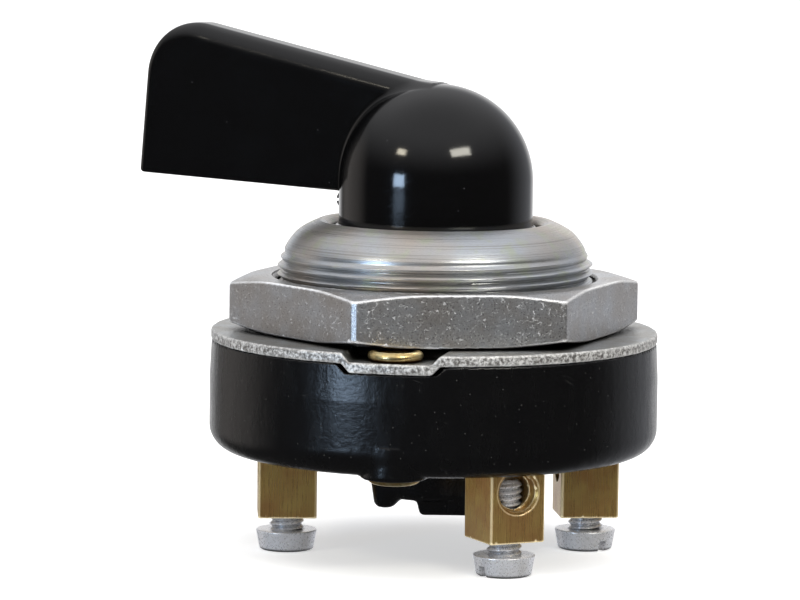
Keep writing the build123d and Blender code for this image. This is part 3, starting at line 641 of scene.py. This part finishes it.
def brass_drawn():
    """Drawn brass bar: olive gold, with streaks along its length and browner patches."""
    finish = Finish("brass_drawn", (0.5, 0.34, 0.11), 0.3, 0.75)
    streaks = finish.noise(finish.stretched((7600, 7600, 240)), 1.0, 4, 0.65)
    patches = finish.noise(finish.place, 380, 4)
    tint = finish.blend(finish.span(patches, 0.35, 0.65), (0.44, 0.25, 0.09), (0.52, 0.36, 0.12))
    shade = finish.blend(finish.span(streaks, 0.34, 0.6, 0.4, 0.0), tint, (0.28, 0.155, 0.055))
    # Painted highlight: the outward edges turn cream and less metallic, so that they show bright.
    edge = finish.edge_highlight(0.508, 0.54)
    finish.drive("Base Color", finish.blend(edge, shade, (0.95, 0.8, 0.5)))
    finish.drive("Metallic", finish.span(edge, 0.0, 1.0, 0.75, 0.3))
    finish.drive("Roughness", finish.span(streaks, 0.35, 0.65, 0.24, 0.38))
    finish.relief(streaks, 0.012, 0.7)
    return finish.material


def brass_eyelet():
    """Bright rolled brass, with painted shade in a dark orange tone in the hollows."""
    finish = Finish("brass_eyelet", (0.9, 0.7, 0.32), 0.3, 1.0)
    patches = finish.noise(finish.place, 900, 4)
    fine = finish.noise(finish.place, 4200, 2)
    shade = finish.blend(finish.span(patches, 0.35, 0.65), (0.84, 0.58, 0.22), (0.98, 0.84, 0.46))
    # Painted shade: ambient occlusion darkens the colour to dark orange in the hollows.
    finish.drive("Base Color", finish.blend(finish.crevice_shade(0.8), shade, (0.2, 0.08, 0.02)))
    finish.drive("Roughness", finish.span(fine, 0.3, 0.7, 0.26, 0.4))
    finish.relief(patches, 0.03, 0.5)
    return finish.material


def plain_metal(name, colour, dark, roughness, scale):
    """A machined metal part inside the switch, with fine tool marks and stained patches."""
    finish = Finish(name, colour, roughness, 1.0)
    marks = finish.noise(finish.stretched((1, 1, 3)), scale, 4, 0.6)
    patches = finish.noise(finish.place, scale / 9, 3)
    finish.drive("Base Color", finish.blend(finish.span(patches, 0.3, 0.7), dark, colour))
    finish.drive("Roughness", finish.span(marks, 0.3, 0.7, roughness * 0.8, roughness * 1.3))
    finish.relief(marks, 0.01, 0.6)
    return finish.material


def moulded(name, colour, dark, roughness, scale):
    """A pressed or moulded insulating part inside the switch."""
    finish = Finish(name, colour, roughness)
    fibres = finish.noise(finish.stretched((1, 1, 4)), scale, 5, 0.65)
    finish.drive("Base Color", finish.blend(finish.span(fibres, 0.3, 0.7), dark, colour))
    finish.drive("Roughness", finish.span(fibres, 0.3, 0.7, roughness * 0.85, roughness * 1.15))
    finish.relief(fibres, 0.02, 0.5)
    return finish.material


finishes = {
    "knob_black": knob_black(),
    "body_black": body_black(),
    "zinc_turned": zinc_turned(),
    "zinc_plate": zinc_plate(),
    "zinc_nut": zinc_nut(),
    "zinc_screw": zinc_screw(),
    "brass_drawn": brass_drawn(),
    "brass_eyelet": brass_eyelet(),
    "black_steel": plain_metal("black_steel", (0.05, 0.05, 0.05), (0.02, 0.02, 0.02), 0.4, 3000),
    "shaft_steel": plain_metal("shaft_steel", (0.5, 0.5, 0.5), (0.36, 0.35, 0.33), 0.28, 2600),
    "spring_steel": plain_metal("spring_steel", (0.32, 0.32, 0.34), (0.2, 0.19, 0.19), 0.3, 4000),
    "ball_chrome": plain_metal("ball_chrome", (0.7, 0.7, 0.72), (0.6, 0.6, 0.62), 0.1, 3000),
    "bridge_bronze": plain_metal("bridge_bronze", (0.6, 0.32, 0.16), (0.42, 0.2, 0.1), 0.3, 2200),
    "washer_bronze": plain_metal("washer_bronze", (0.56, 0.34, 0.18), (0.4, 0.22, 0.1), 0.32, 2200),
    "rotor_phenolic": moulded("rotor_phenolic", (0.09, 0.035, 0.015), (0.04, 0.016, 0.008), 0.42, 1400),
    "ring_fibre": moulded("ring_fibre", (0.3, 0.06, 0.04), (0.18, 0.03, 0.02), 0.6, 1800),
}


# ---------------------------------------------------------------- lever knob
def knob_distance(x, y, z):
    """A domed hub on a skirt, with a tapered blade to one side, a bore and a set screw's hole."""
    foot = box_mm("lever_knob")[0][2]
    along, across = turned_to(x, y, math.radians(LEVER_ANGLE))
    radius = np.hypot(x, y)
    hub = np.maximum(np.hypot(radius, np.maximum(z - HUB_CENTRE_Z, 0)) - HUB_R, foot - z)
    skirt_mid, skirt_half = (SKIRT_TOP + foot) / 2, (SKIRT_TOP - foot) / 2
    skirt = cut_round(radius - SKIRT_R, np.abs(z - skirt_mid) - skirt_half, SKIRT_EDGE_R)
    top = (z - BLADE_TOP_AT_AXIS - BLADE_TOP_SLOPE * along) / math.hypot(1, BLADE_TOP_SLOPE)
    bottom = (BLADE_FOOT_AT_AXIS + BLADE_FOOT_SLOPE * along - z) / math.hypot(1, BLADE_FOOT_SLOPE)
    tip_foot = BLADE_FOOT_AT_AXIS + BLADE_FOOT_SLOPE * BLADE_REACH
    tip = (along - BLADE_REACH + BLADE_TIP_LEAN * (z - tip_foot)) / math.hypot(1, BLADE_TIP_LEAN)
    outline = cut_round(top, tip, BLADE_CORNER_R)
    toward_tip = np.clip(0.5 + (tip - top) / (2 * BLADE_CORNER_R), 0, 1)
    edge_r = BLADE_EDGE_R + (BLADE_TIP_EDGE_R - BLADE_EDGE_R) * toward_tip
    blade = cut_round(outline, np.abs(across) - BLADE_HALF_T, edge_r)
    blade = np.maximum(cut_round(blade, bottom, BLADE_FOOT_EDGE_R), -along)
    knob = union_round(union_round(hub, blade, BLADE_FILLET_R), skirt, SKIRT_FILLET_R)
    bore = np.maximum(radius - KNOB_BORE_R, z - KNOB_BORE_TOP)
    hole = np.hypot(across, z - SET_SCREW_Z) - SET_SCREW_HOLE_R
    knob = cut_round(knob, -bore, KNOB_BORE_EDGE_R)
    return cut_round(knob, -np.maximum(hole, -along), SET_SCREW_EDGE_R)


knob = sculpt("lever_knob", knob_distance, step=0.225)
dress(knob, "lever", "lever_knob", finishes["knob_black"])


# ---------------------------------------------------------------- threaded neck
def neck_radius(radius, height, angle):
    """Cuts the helical thread into the neck's outer wall between the plate and the cap."""
    on_wall = (radius > THREAD_WALL_R) & (height > 0) & (height < THREAD_END)
    run_out = np.clip((THREAD_END - height) / THREAD_END_FADE, 0, 1) ** 1.5
    run_in = np.clip(height / THREAD_START_FADE, 0, 1)
    turns = height / THREAD_PITCH - angle / (2 * math.pi) - THREAD_PHASE
    cut = radius - THREAD_DEPTH * thread_wave(turns) * (run_out * run_in)
    return np.where(on_wall, cut, radius)


low, high = box_mm("threaded_neck")
stake_z, cap_top, thread_r = low[2], high[2], high[0]
cap_curve = [(CAP_R, CAP_FOOT + CAP_RIM_H), *CAP_SWEEP, (CAP_CREST_R, cap_top)]
web_floor = MOUTH_FLOOR - MOUTH_FLOOR_R
neck_profile = [
    *line_points((LOWER_BORE_R, stake_z), (STAKE_R, stake_z), 1.0),
    *line_points((STAKE_R, stake_z), (SPIGOT_R, -PLATE_T), 0.4),
    *line_points((SPIGOT_R, -PLATE_T), (SPIGOT_R, 0), 0.6),
    *line_points((SPIGOT_R, 0), (thread_r, 0), 0.7),
    *line_points((thread_r, 0), (thread_r, THREAD_TOP - 0.2), 0.09),
    *line_points((thread_r, THREAD_TOP - 0.2), (CAP_R, CAP_FOOT + CAP_RIM_H), 0.09),
    *smooth_run(cap_curve, 0.09),
    *arc_points((CAP_CREST_R, cap_top - CAP_CREST_H), (CAP_CREST_R - MOUTH_R, CAP_CREST_H), 90, 180, 12),
    *line_points((MOUTH_R, cap_top - CAP_CREST_H), (MOUTH_R, MOUTH_FLOOR + MOUTH_FLOOR_R), 0.3),
    *arc_points(
        (MOUTH_R - MOUTH_FLOOR_R, MOUTH_FLOOR + MOUTH_FLOOR_R), (MOUTH_FLOOR_R, MOUTH_FLOOR_R), 0, -90, 4
    ),
    *line_points((MOUTH_R - MOUTH_FLOOR_R, MOUTH_FLOOR), (WEB_BORE_R + MOUTH_FLOOR_R, MOUTH_FLOOR), 0.8),
    *line_points((WEB_BORE_R + MOUTH_FLOOR_R, MOUTH_FLOOR), (WEB_BORE_R, web_floor), 0.3),
    *line_points((WEB_BORE_R, web_floor), (WEB_BORE_R, WEB_FOOT), 0.8),
    *line_points((WEB_BORE_R, WEB_FOOT), (UPPER_BORE_R, WEB_FOOT), 1.0),
    *line_points((UPPER_BORE_R, WEB_FOOT), (UPPER_BORE_R, SHOULDER_Z), 0.8),
    *line_points((UPPER_BORE_R, SHOULDER_Z), (LOWER_BORE_R, SHOULDER_Z), 0.5),
    *line_points((LOWER_BORE_R, SHOULDER_Z), (LOWER_BORE_R, stake_z), 0.8),
]
neck = lathe("threaded_neck_skin", neck_profile, 300, radius_at=neck_radius, sharp=50.0)
dress(neck, "housing", "threaded_neck", finishes["zinc_turned"])


# ---------------------------------------------------------------- panel nut
def nut_distance(x, y, z):
    """A hexagon with coned ends, one blunter corner and a threaded bore."""
    foot, top = NUT_SPAN
    radius = np.hypot(x, y)
    hexagon = None
    for face in range(3):
        along, _ = turned_to(x, y, math.radians(NUT_ANGLE + 30 + 60 * face))
        facet = np.abs(along) - NUT_FLATS / 2
        hexagon = facet if hexagon is None else cut_round(hexagon, facet, NUT_CORNER_EDGE_R)
    corner_r = NUT_FLATS / 2 / math.cos(math.radians(30))
    toward_corner, _ = turned_to(x, y, math.radians(NUT_BLUNT_CORNER))
    hexagon = cut_round(hexagon, toward_corner - corner_r + NUT_BLUNTING, 0.06)
    lean = math.atan2(NUT_CORNER_DROP, corner_r - NUT_FACE_R)
    height = np.maximum(z - top, foot - z)
    cone = (radius - NUT_FACE_R) * math.sin(lean) + height * math.cos(lean)
    solid = cut_round(hexagon, cone, NUT_CHAMFER_EDGE_R)
    solid = cut_round(solid, height, NUT_FACE_EDGE_R)
    turn = np.arctan2(y, x) / (2 * math.pi)
    wall = NUT_BORE_R + THREAD_DEPTH * (1 - thread_wave(z / THREAD_PITCH - turn)) - radius
    solid = np.maximum(solid, wall)
    return np.maximum(solid, (NUT_BORE_R + NUT_BORE_CHAMFER - radius + height) * math.sqrt(0.5))


nut = sculpt("panel_nut", nut_distance, step=0.19)
dress(nut, "nut", "panel_nut", finishes["zinc_nut"])


# ---------------------------------------------------------------- flange plate
def pan_mask(x, y, floor_w, top_w, start):
    """One on the floor of the pressed pans and zero on the plate around them."""
    mask = 0
    for place in RIVET_PLACES:
        outward, sideways = turned_to(x, y, polar(*place)[1])
        flank = (top_w / 2 - np.abs(sideways)) / ((top_w - floor_w) / 2)
        ramp = np.clip(np.minimum(flank, (outward - start) / PAN_RAMP), 0, 1)
        mask = mask + ramp * ramp * (3 - 2 * ramp)
    return mask


def plate_distance(x, y, z):
    """A round sheet with a sunk pan at each rivet, a sheared rim and holes for neck and rivets."""
    radius = np.hypot(x, y)
    top = -PAN_DEPTH * pan_mask(x, y, PAN_FLOOR_W, PAN_TOP_W, PAN_START_R)
    sheet = np.maximum(z - top, top - PLATE_T - z)
    angle = np.arctan2(y, x)
    rim = PLATE_R + SHEAR_WAVE * np.sin(37 * angle) * np.sin(11 * angle) - SHEAR_WAVE
    plate = cut_round(sheet, radius - rim, PLATE_EDGE_R)
    plate = np.maximum(plate, SPIGOT_R + PLATE_BORE_ROOM - radius)
    for place in RIVET_PLACES:
        hole = RIVET_TUBE_R + RIVET_HOLE_ROOM - np.hypot(x - place[0], y - place[1])
        plate = cut_round(plate, hole, 0.1)
    return plate


plate = sculpt("flange_plate", plate_distance, step=0.2)
dress(plate, "housing", "flange_plate", finishes["zinc_plate"])


# ---------------------------------------------------------------- moulded body
def tapered_block(x, y, z, low_place, low_half, high_place, high_half, low, high, radius):
    """An upright block whose plan changes evenly from one height to another."""
    t = (z - low) / (high - low)
    mid_x = low_place[0] + (high_place[0] - low_place[0]) * t
    mid_y = low_place[1] + (high_place[1] - low_place[1]) * t
    half_x = low_half[0] + (high_half[0] - low_half[0]) * t
    half_y = low_half[1] + (high_half[1] - low_half[1]) * t
    plan = cut_round(np.abs(x - mid_x) - half_x, np.abs(y - mid_y) - half_y, radius)
    return cut_round(plan, low - z, radius)


def body_outside(x, y, z):
    """The moulding's outer shape: drum, rivet pads, centre boss, lug and barrier."""
    bottom = box_mm("switch_body")[0][2]
    radius = np.hypot(x, y)
    wall = np.minimum(BODY_R, BODY_TOP_R + (BODY_R - BODY_TOP_R) * (-PLATE_T - z) / BODY_TAPER_H)
    body = cut_round(radius - wall, BODY_BOTTOM - z, BODY_EDGE_R)
    body = cut_round(body, z + PLATE_T, 0.15)
    for place in RIVET_PLACES:
        pad = np.hypot(x - place[0], y - place[1]) - RIVET_PAD_R
        pad = cut_round(pad, RIVET_PAD_END - z, 0.3)
        body = union_round(body, np.maximum(pad, z - RIVET_PAD_ROOT), 0.3)
    t = (z - BODY_BOTTOM) / (BOSS_END - BODY_BOTTOM)
    boss = cut_round(radius - BOSS_TOP_R - (BOSS_END_R - BOSS_TOP_R) * t, BOSS_END - z, 0.8)
    body = union_round(body, np.maximum(boss, z - CAVITY_FLOOR + 2), 0.5)
    lug_r = LUG_TOP_R + (LUG_END_R - LUG_TOP_R) * (LUG_TOP - z) / (LUG_TOP - LUG_END)
    lug = cut_round(np.hypot(x - LUG_PLACE[0], y - LUG_PLACE[1]) - lug_r, LUG_END - z, 0.75)
    body = union_round(body, np.maximum(lug, z - UNDERSIDE_ROOT), 1.1)
    ends = (BARRIER_END_PLACE, BARRIER_END_HALF, BARRIER_TOP_PLACE, BARRIER_TOP_HALF)
    barrier = tapered_block(x, y, z, *ends, bottom, BODY_BOTTOM, 0.5)
    return union_round(body, np.maximum(barrier, z - UNDERSIDE_ROOT), 0.4)


def body_chamber(x, y, z):
    """The space inside: contact chamber with stops, pockets, posts' sockets and the spindle's well."""
    radius = np.hypot(x, y)
    chamber = radius - CAVITY_R
    for side in SIDES:
        far, turn = polar(*POSTS[side])
        outward, sideways = turned_to(x, y, turn)
        pocket = block(outward - far + POCKET_SHIFT, sideways, POCKET_HALF_L, POCKET_HALF_W, 0.3)
        chamber = np.minimum(chamber, pocket)
    chamber = np.maximum(chamber, CAVITY_FLOOR - z)
    for turn in (LEVER_ANGLE - STOP_ANGLE, LEVER_ANGLE + STOP_ANGLE):
        outward, sideways = turned_to(x, y, math.radians(turn))
        stop = block(outward - STOP_R, sideways, STOP_HALF_L, STOP_HALF_W, 0.2)
        chamber = np.maximum(chamber, -np.maximum(stop, z - LEDGE_Z))
    chamber = np.minimum(chamber, np.maximum(radius - LEDGE_R, LEDGE_Z - z))
    chamber = np.minimum(chamber, np.maximum(radius - WELL_R, WELL_FOOT - z))
    for side in SIDES:
        far, turn = polar(*POSTS[side])
        outward, sideways = turned_to(x, y, turn)
        half = POST_SIDE / 2 + POST_ROOM
        socket = np.maximum(block(outward - far, sideways, half, half, 0.05), z - POST_TOP)
        tail = np.hypot(outward - far, sideways) - POST_TAIL_R - POST_TAIL_ROOM
        chamber = np.minimum(chamber, np.minimum(socket, tail))
    return chamber


def body_distance(x, y, z):
    """The moulding, with a notch under each of the plate's pans and a hole for each rivet."""
    body = np.maximum(body_outside(x, y, z), -body_chamber(x, y, z))
    notch = pan_mask(x, y, NOTCH_FLOOR_W, NOTCH_TOP_W, NOTCH_START_R)
    body = np.maximum(body, z + PLATE_T + (PAN_DEPTH + PAN_ROOM) * notch)
    for place in RIVET_PLACES:
        hole = np.hypot(x - place[0], y - place[1]) - RIVET_TUBE_R - RIVET_HOLE_ROOM
        body = np.maximum(body, -hole)
    return body


body = sculpt("switch_body", body_distance, step=0.3)
dress(body, "housing", "switch_body", finishes["body_black"])

# ---------------------------------------------------------------- tubular rivets
for name in RIVETS:
    foot, crown = box_mm(name)[0][2], box_mm(name)[1][2]
    foot_chamfer = (RIVET_BORE_R, foot + RIVET_FOOT_CHAMFER)
    foot_edge_r = RIVET_FOOT_R - RIVET_FOOT_EDGE_R
    curl_r, curl_h = RIVET_CURL_EDGE_RADII
    throat = (RIVET_CURL_R - RIVET_BORE_R, crown - RIVET_CURL_FOOT)
    profile = [
        *line_points(foot_chamfer, (RIVET_BORE_R, RIVET_CURL_FOOT), 0.8),
        *arc_points((RIVET_CURL_R, RIVET_CURL_FOOT), throat, 180, 90, 10),
        *arc_points((RIVET_CURL_R, crown - curl_h), (curl_r, curl_h), 90, -55, 14),
        *line_points((RIVET_CURL_EDGE_R, RIVET_CURL_UNDER), (RIVET_TUBE_R, RIVET_CURL_UNDER), 0.4),
        *line_points((RIVET_TUBE_R, RIVET_CURL_UNDER), (RIVET_TUBE_R, RIVET_PAD_END), 0.8),
        *line_points((RIVET_TUBE_R, RIVET_PAD_END), (RIVET_FOOT_R, RIVET_PAD_END), 0.4),
        *arc_points((foot_edge_r, RIVET_PAD_END), (RIVET_FOOT_EDGE_R, RIVET_FOOT_T), 0, -90, 8),
        *line_points((foot_edge_r, foot), foot_chamfer, 0.2),
    ]
    rivet = lathe(name + "_skin", profile, 96, centre=centre_mm(name), sharp=40.0)
    dress(rivet, "housing", name, finishes["brass_eyelet"])


# ---------------------------------------------------------------- terminals
def post_distance(place, end):
    """The distance function of a terminal post at a place, down to its end."""
    far, turn = polar(*place)

    def distance(x, y, z):
        outward, sideways = turned_to(x, y, turn)
        outward = outward - far
        half = POST_SIDE / 2
        post = block(outward, sideways, half, half, POST_EDGE_R)
        post = cut_round(post, np.maximum(z - POST_TOP, end - z), POST_END_EDGE_R)
        axis = np.hypot(outward, sideways)
        tail = np.maximum(axis - POST_TAIL_R, z - STRIP_TOP)
        tail = np.maximum(tail, POST_TOP - 1 - z)
        head_z = np.abs(z - STRIP_TOP - TAIL_HEAD_HALF_T) - TAIL_HEAD_HALF_T
        tail_head = cut_round(axis - TAIL_HEAD_R, head_z, TAIL_HEAD_EDGE_R)
        post = np.minimum(post, np.minimum(tail, tail_head))
        tap = np.maximum(axis - TAP_R, z - TAP_TOP)
        hole = np.hypot(sideways, z - WIRE_HOLE_Z)
        flare = np.maximum(WIRE_CHAMFER - (half - outward), 0)
        lead_in = np.maximum(hole - WIRE_HOLE_R - flare, half - outward - WIRE_LEAD_IN)
        wire = np.minimum(hole - WIRE_INNER_R, lead_in)
        return cut_round(np.maximum(post, -tap), -wire, 0.05)

    return distance


def screw_distance(place, slot_angle, tip, end):
    """The distance function of a slotted cheese-head screw at a place."""

    def distance(x, y, z):
        along, across = turned_to(x, y, math.radians(slot_angle), place)
        radius = np.hypot(along, across)
        turn = np.arctan2(across, along) / (2 * math.pi)
        cut = SCREW_THREAD_DEPTH * thread_wave(z / SCREW_PITCH - turn)
        shank = np.maximum(radius - SCREW_R + cut, z - tip)
        shank = np.maximum(shank, (radius - SCREW_R + SCREW_TIP_CHAMFER + z - tip) * math.sqrt(0.5))
        t = np.clip((HEAD_TOP - z) / (HEAD_TOP - end), 0, 1)
        head = radius - HEAD_R - (HEAD_END_R - HEAD_R) * t
        head = cut_round(head, z - HEAD_TOP, HEAD_TOP_EDGE_R)
        head = cut_round(head, end - z, HEAD_END_EDGE_R)
        slot = np.maximum(np.abs(across) - SLOT_HALF_W, z - end - SLOT_DEPTH)
        screw = union_round(np.maximum(shank, HEAD_TOP - 0.5 - z), head, 0.12)
        return cut_round(screw, -slot, 0.06)

    return distance


for side in SIDES:
    name = f"terminal_post_{side}"
    post = sculpt(name, post_distance(POSTS[side], box_mm(name)[0][2]), step=0.11)
    dress(post, "housing", name, finishes["brass_drawn"])
    name = f"terminal_screw_{side}"
    end, tip = box_mm(name)[0][2], box_mm(name)[1][2]
    screw = sculpt(name, screw_distance(POSTS[side], SLOT_ANGLES[side], tip, end), step=0.09)
    dress(screw, f"screw_{side}", name, finishes["zinc_screw"])


# ---------------------------------------------------------------- contact spring, shortened by the bridge
def coil(name, foot, top, radius, wire_r, turns):
    """Winds a round wire into an open helix about the neck's axis."""
    rings, sides = round(turns * COIL_STEPS), COIL_SIDES
    pitch = (top - foot - 2 * wire_r) / turns
    lean = math.atan2(pitch, 2 * math.pi * radius)
    points = []
    for ring in range(rings + 1):
        share = ring / rings
        turn = 2 * math.pi * turns * share
        height = foot + wire_r + (top - foot - 2 * wire_r) * share
        end = min(1.0, ring / 2, (rings - ring) / 2)
        section_r = wire_r * (COIL_END_SHARE + (1 - COIL_END_SHARE) * end)
        for side in range(sides):
            around = 2 * math.pi * side / sides
            out = section_r * math.cos(around)
            up = section_r * math.sin(around)
            slide = -up * math.sin(lean)
            x = (radius + out) * math.cos(turn) - slide * math.sin(turn)
            y = (radius + out) * math.sin(turn) + slide * math.cos(turn)
            points.append((x, y, height + up * math.cos(lean)))
    faces = [tuple(range(sides))[::-1], tuple(rings * sides + k for k in range(sides))]
    for ring in range(rings):
        here, after = ring * sides, (ring + 1) * sides
        for k in range(sides):
            beside = (k + 1) % sides
            faces.append((here + k, here + beside, after + beside, after + k))
    mesh = bpy.data.meshes.new(name)
    mesh.from_pydata((np.array(points) * MM).tolist(), [], faces)
    mesh.shade_smooth()
    mesh.set_sharp_from_angle(angle=math.radians(COIL_SHARP))
    return add_piece(mesh, name)


low, high = box_mm("contact_spring")
spring = coil("contact_spring_skin", low[2], high[2], high[0] - COIL_WIRE_R, COIL_WIRE_R, COIL_TURNS)
dress(spring, "lever", "contact_spring", finishes["spring_steel"])
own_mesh(spring)

# ---------------------------------------------------------------- CAD nodes that keep their shape
kept = {
    "lever_set_screw": "black_steel",
    "spindle": "shaft_steel",
    "spindle_clip": "spring_steel",
    "thrust_washer": "washer_bronze",
    "index_plate": "shaft_steel",
    "rotor": "rotor_phenolic",
    "insulating_ring": "ring_fibre",
    "detent_ball_front": "ball_chrome",
    "detent_ball_rear": "ball_chrome",
    "detent_spring_front": "spring_steel",
    "detent_spring_rear": "spring_steel",
    "contact_bridge": "bridge_bronze",
    "fixed_contact_left": "bridge_bronze",
    "fixed_contact_middle": "bridge_bronze",
    "fixed_contact_right": "bridge_bronze",
}
for name, finish_name in kept.items():
    for material_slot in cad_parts[name].material_slots:
        material_slot.material = finishes[finish_name]

# ---------------------------------------------------------------- floor, light and camera
FLOOR_R = 9.0  # metres
floor_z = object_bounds()[0][2]
paper = Finish("paper", (0.86, 0.86, 0.86), 0.9)
tone = paper.noise(paper.place, 1.5, 2)
paper.drive("Base Color", paper.blend(tone, (0.855, 0.855, 0.855), (0.865, 0.865, 0.865)))
paper.shader.inputs["Emission Color"].default_value = (1, 1, 1, 1)
paper.shader.inputs["Emission Strength"].default_value = 0.5

mesh = bpy.data.meshes.new("floor")
turns = [math.tau * k / 96 for k in range(96)]
mesh.from_pydata([(FLOOR_R * math.cos(t), FLOOR_R * math.sin(t), floor_z) for t in turns], [], [range(96)])
mesh.materials.append(paper.material)
floor = add_piece(mesh, "floor")
floor.visible_glossy = False


def soft_light(name, azimuth, elevation, distance, size, radiance, colour, glossy=True):
    """A rectangular soft box seen from the switch at an azimuth (0 in front, 90 on the right).

    Its size and distance are in metres, and its brightness doesn't change with its size.
    """
    light = bpy.data.lights.new(name, "AREA")
    light.shape = "RECTANGLE"
    light.size, light.size_y = size
    light.energy = radiance * math.pi * size[0] * size[1]
    light.color = colour
    lamp = bpy.data.objects.new(name, light)
    bpy.context.scene.collection.objects.link(lamp)
    a, e = math.radians(azimuth), math.radians(elevation)
    toward = Vector((math.sin(a) * math.cos(e), -math.cos(a) * math.cos(e), math.sin(e)))
    lamp.location = toward * distance
    lamp.rotation_euler = toward.to_track_quat("Z", "Y").to_euler()
    lamp.visible_glossy = glossy


NEAR, MIDWAY, FAR = 1.1, 1.4, 1.6
BLUISH, STRAW, CREAM = (0.56, 0.75, 1.0), (1.0, 0.92, 0.74), (1.0, 0.97, 0.86)
soft_light("window", -45, 4, NEAR, (0.25, 0.26), 16.0, BLUISH)
soft_light("lamp_left", -50, 35, NEAR, (0.2, 0.11), 16.0, STRAW)
soft_light("lamp_right", 34, 38, NEAR, (0.44, 0.17), 13.0, CREAM)
soft_light("overhead", 0, 89, FAR, (2.4, 2.4), 1.2, (1.0, 1.0, 1.0), glossy=False)
soft_light("fill", 12, 8, MIDWAY, (1.3, 1.0), 1.4, (1.0, 0.99, 0.97), glossy=False)

# The room that the switch mirrors: dark in front, paler to the far right and left, bright behind and above.
world = bpy.data.worlds.new("studio")
bpy.context.scene.world = world
world.use_nodes = True
sky = world.node_tree
background = sky.nodes["Background"]
direction = sky.nodes.new("ShaderNodeTexCoord").outputs["Generated"]


def sky_share(axis, low, high):
    """How far the view direction leans along an axis, from 0 at low to 1 at high, smoothly."""
    lean = sky.nodes.new("ShaderNodeVectorMath")
    lean.operation = "DOT_PRODUCT"
    sky.links.new(direction, lean.inputs[0])
    lean.inputs[1].default_value = axis
    share = sky.nodes.new("ShaderNodeMapRange")
    share.interpolation_type = "SMOOTHSTEP"
    sky.links.new(lean.outputs["Value"], share.inputs[0])
    share.inputs[1].default_value, share.inputs[2].default_value = low, high
    return share.outputs[0]


def sky_mix(share, a, b):
    """Mixes two sky colours, each a tuple or the result of another mix."""
    mix = sky.nodes.new("ShaderNodeMix")
    mix.data_type = "RGBA"
    sky.links.new(share, mix.inputs[0])
    for slot, value in ((6, a), (7, b)):
        if isinstance(value, tuple):
            mix.inputs[slot].default_value = (*value, 1)
        else:
            sky.links.new(value, mix.inputs[slot])
    return mix.outputs[2]


right_side = sky_mix(sky_share((0.5, 0.866, 0), 0.5, 1.0), (0.06, 0.058, 0.057), (0.44, 0.45, 0.48))
left_side = sky_mix(sky_share((-0.866, 0.5, 0), 0.85, 1.0), right_side, (0.47, 0.44, 0.42))
rear = sky_mix(sky_share((0, 1, 0), 0.8, 0.97), left_side, (1.05, 1.05, 1.06))
above = sky_mix(sky_share((0, 0, 1), 0.15, 0.9), rear, (0.75, 0.75, 0.77))
sky.links.new(above, background.inputs["Color"])
background.inputs["Strength"].default_value = 1.0
bpy.context.scene.view_settings.view_transform = "Standard"

CAMERA_DISTANCE = 0.52  # metres, as are the next places
CAMERA_ELEVATION = math.radians(6.44)
CAMERA_ROLL = math.radians(0.69)
CAMERA_LENS = 205.74
AIM = Vector((-0.00394, 0.0, 0.00325))
ahead = Vector((0, math.cos(CAMERA_ELEVATION), -math.sin(CAMERA_ELEVATION)))
upright = Vector((0, math.sin(CAMERA_ELEVATION), math.cos(CAMERA_ELEVATION)))
right = Vector((1, 0, 0))
rolled_right = math.cos(CAMERA_ROLL) * right + math.sin(CAMERA_ROLL) * upright
rolled_up = -math.sin(CAMERA_ROLL) * right + math.cos(CAMERA_ROLL) * upright
camera_data = bpy.data.cameras.new("camera")
camera_data.sensor_width = 36.0
camera_data.lens = CAMERA_LENS
camera_data.clip_start = 0.02
camera = bpy.data.objects.new("camera", camera_data)
bpy.context.scene.collection.objects.link(camera)
turn = Matrix((rolled_right, rolled_up, -ahead)).transposed()
camera.matrix_world = Matrix.Translation(AIM - CAMERA_DISTANCE * ahead) @ turn.to_4x4()
bpy.context.scene.camera = camera
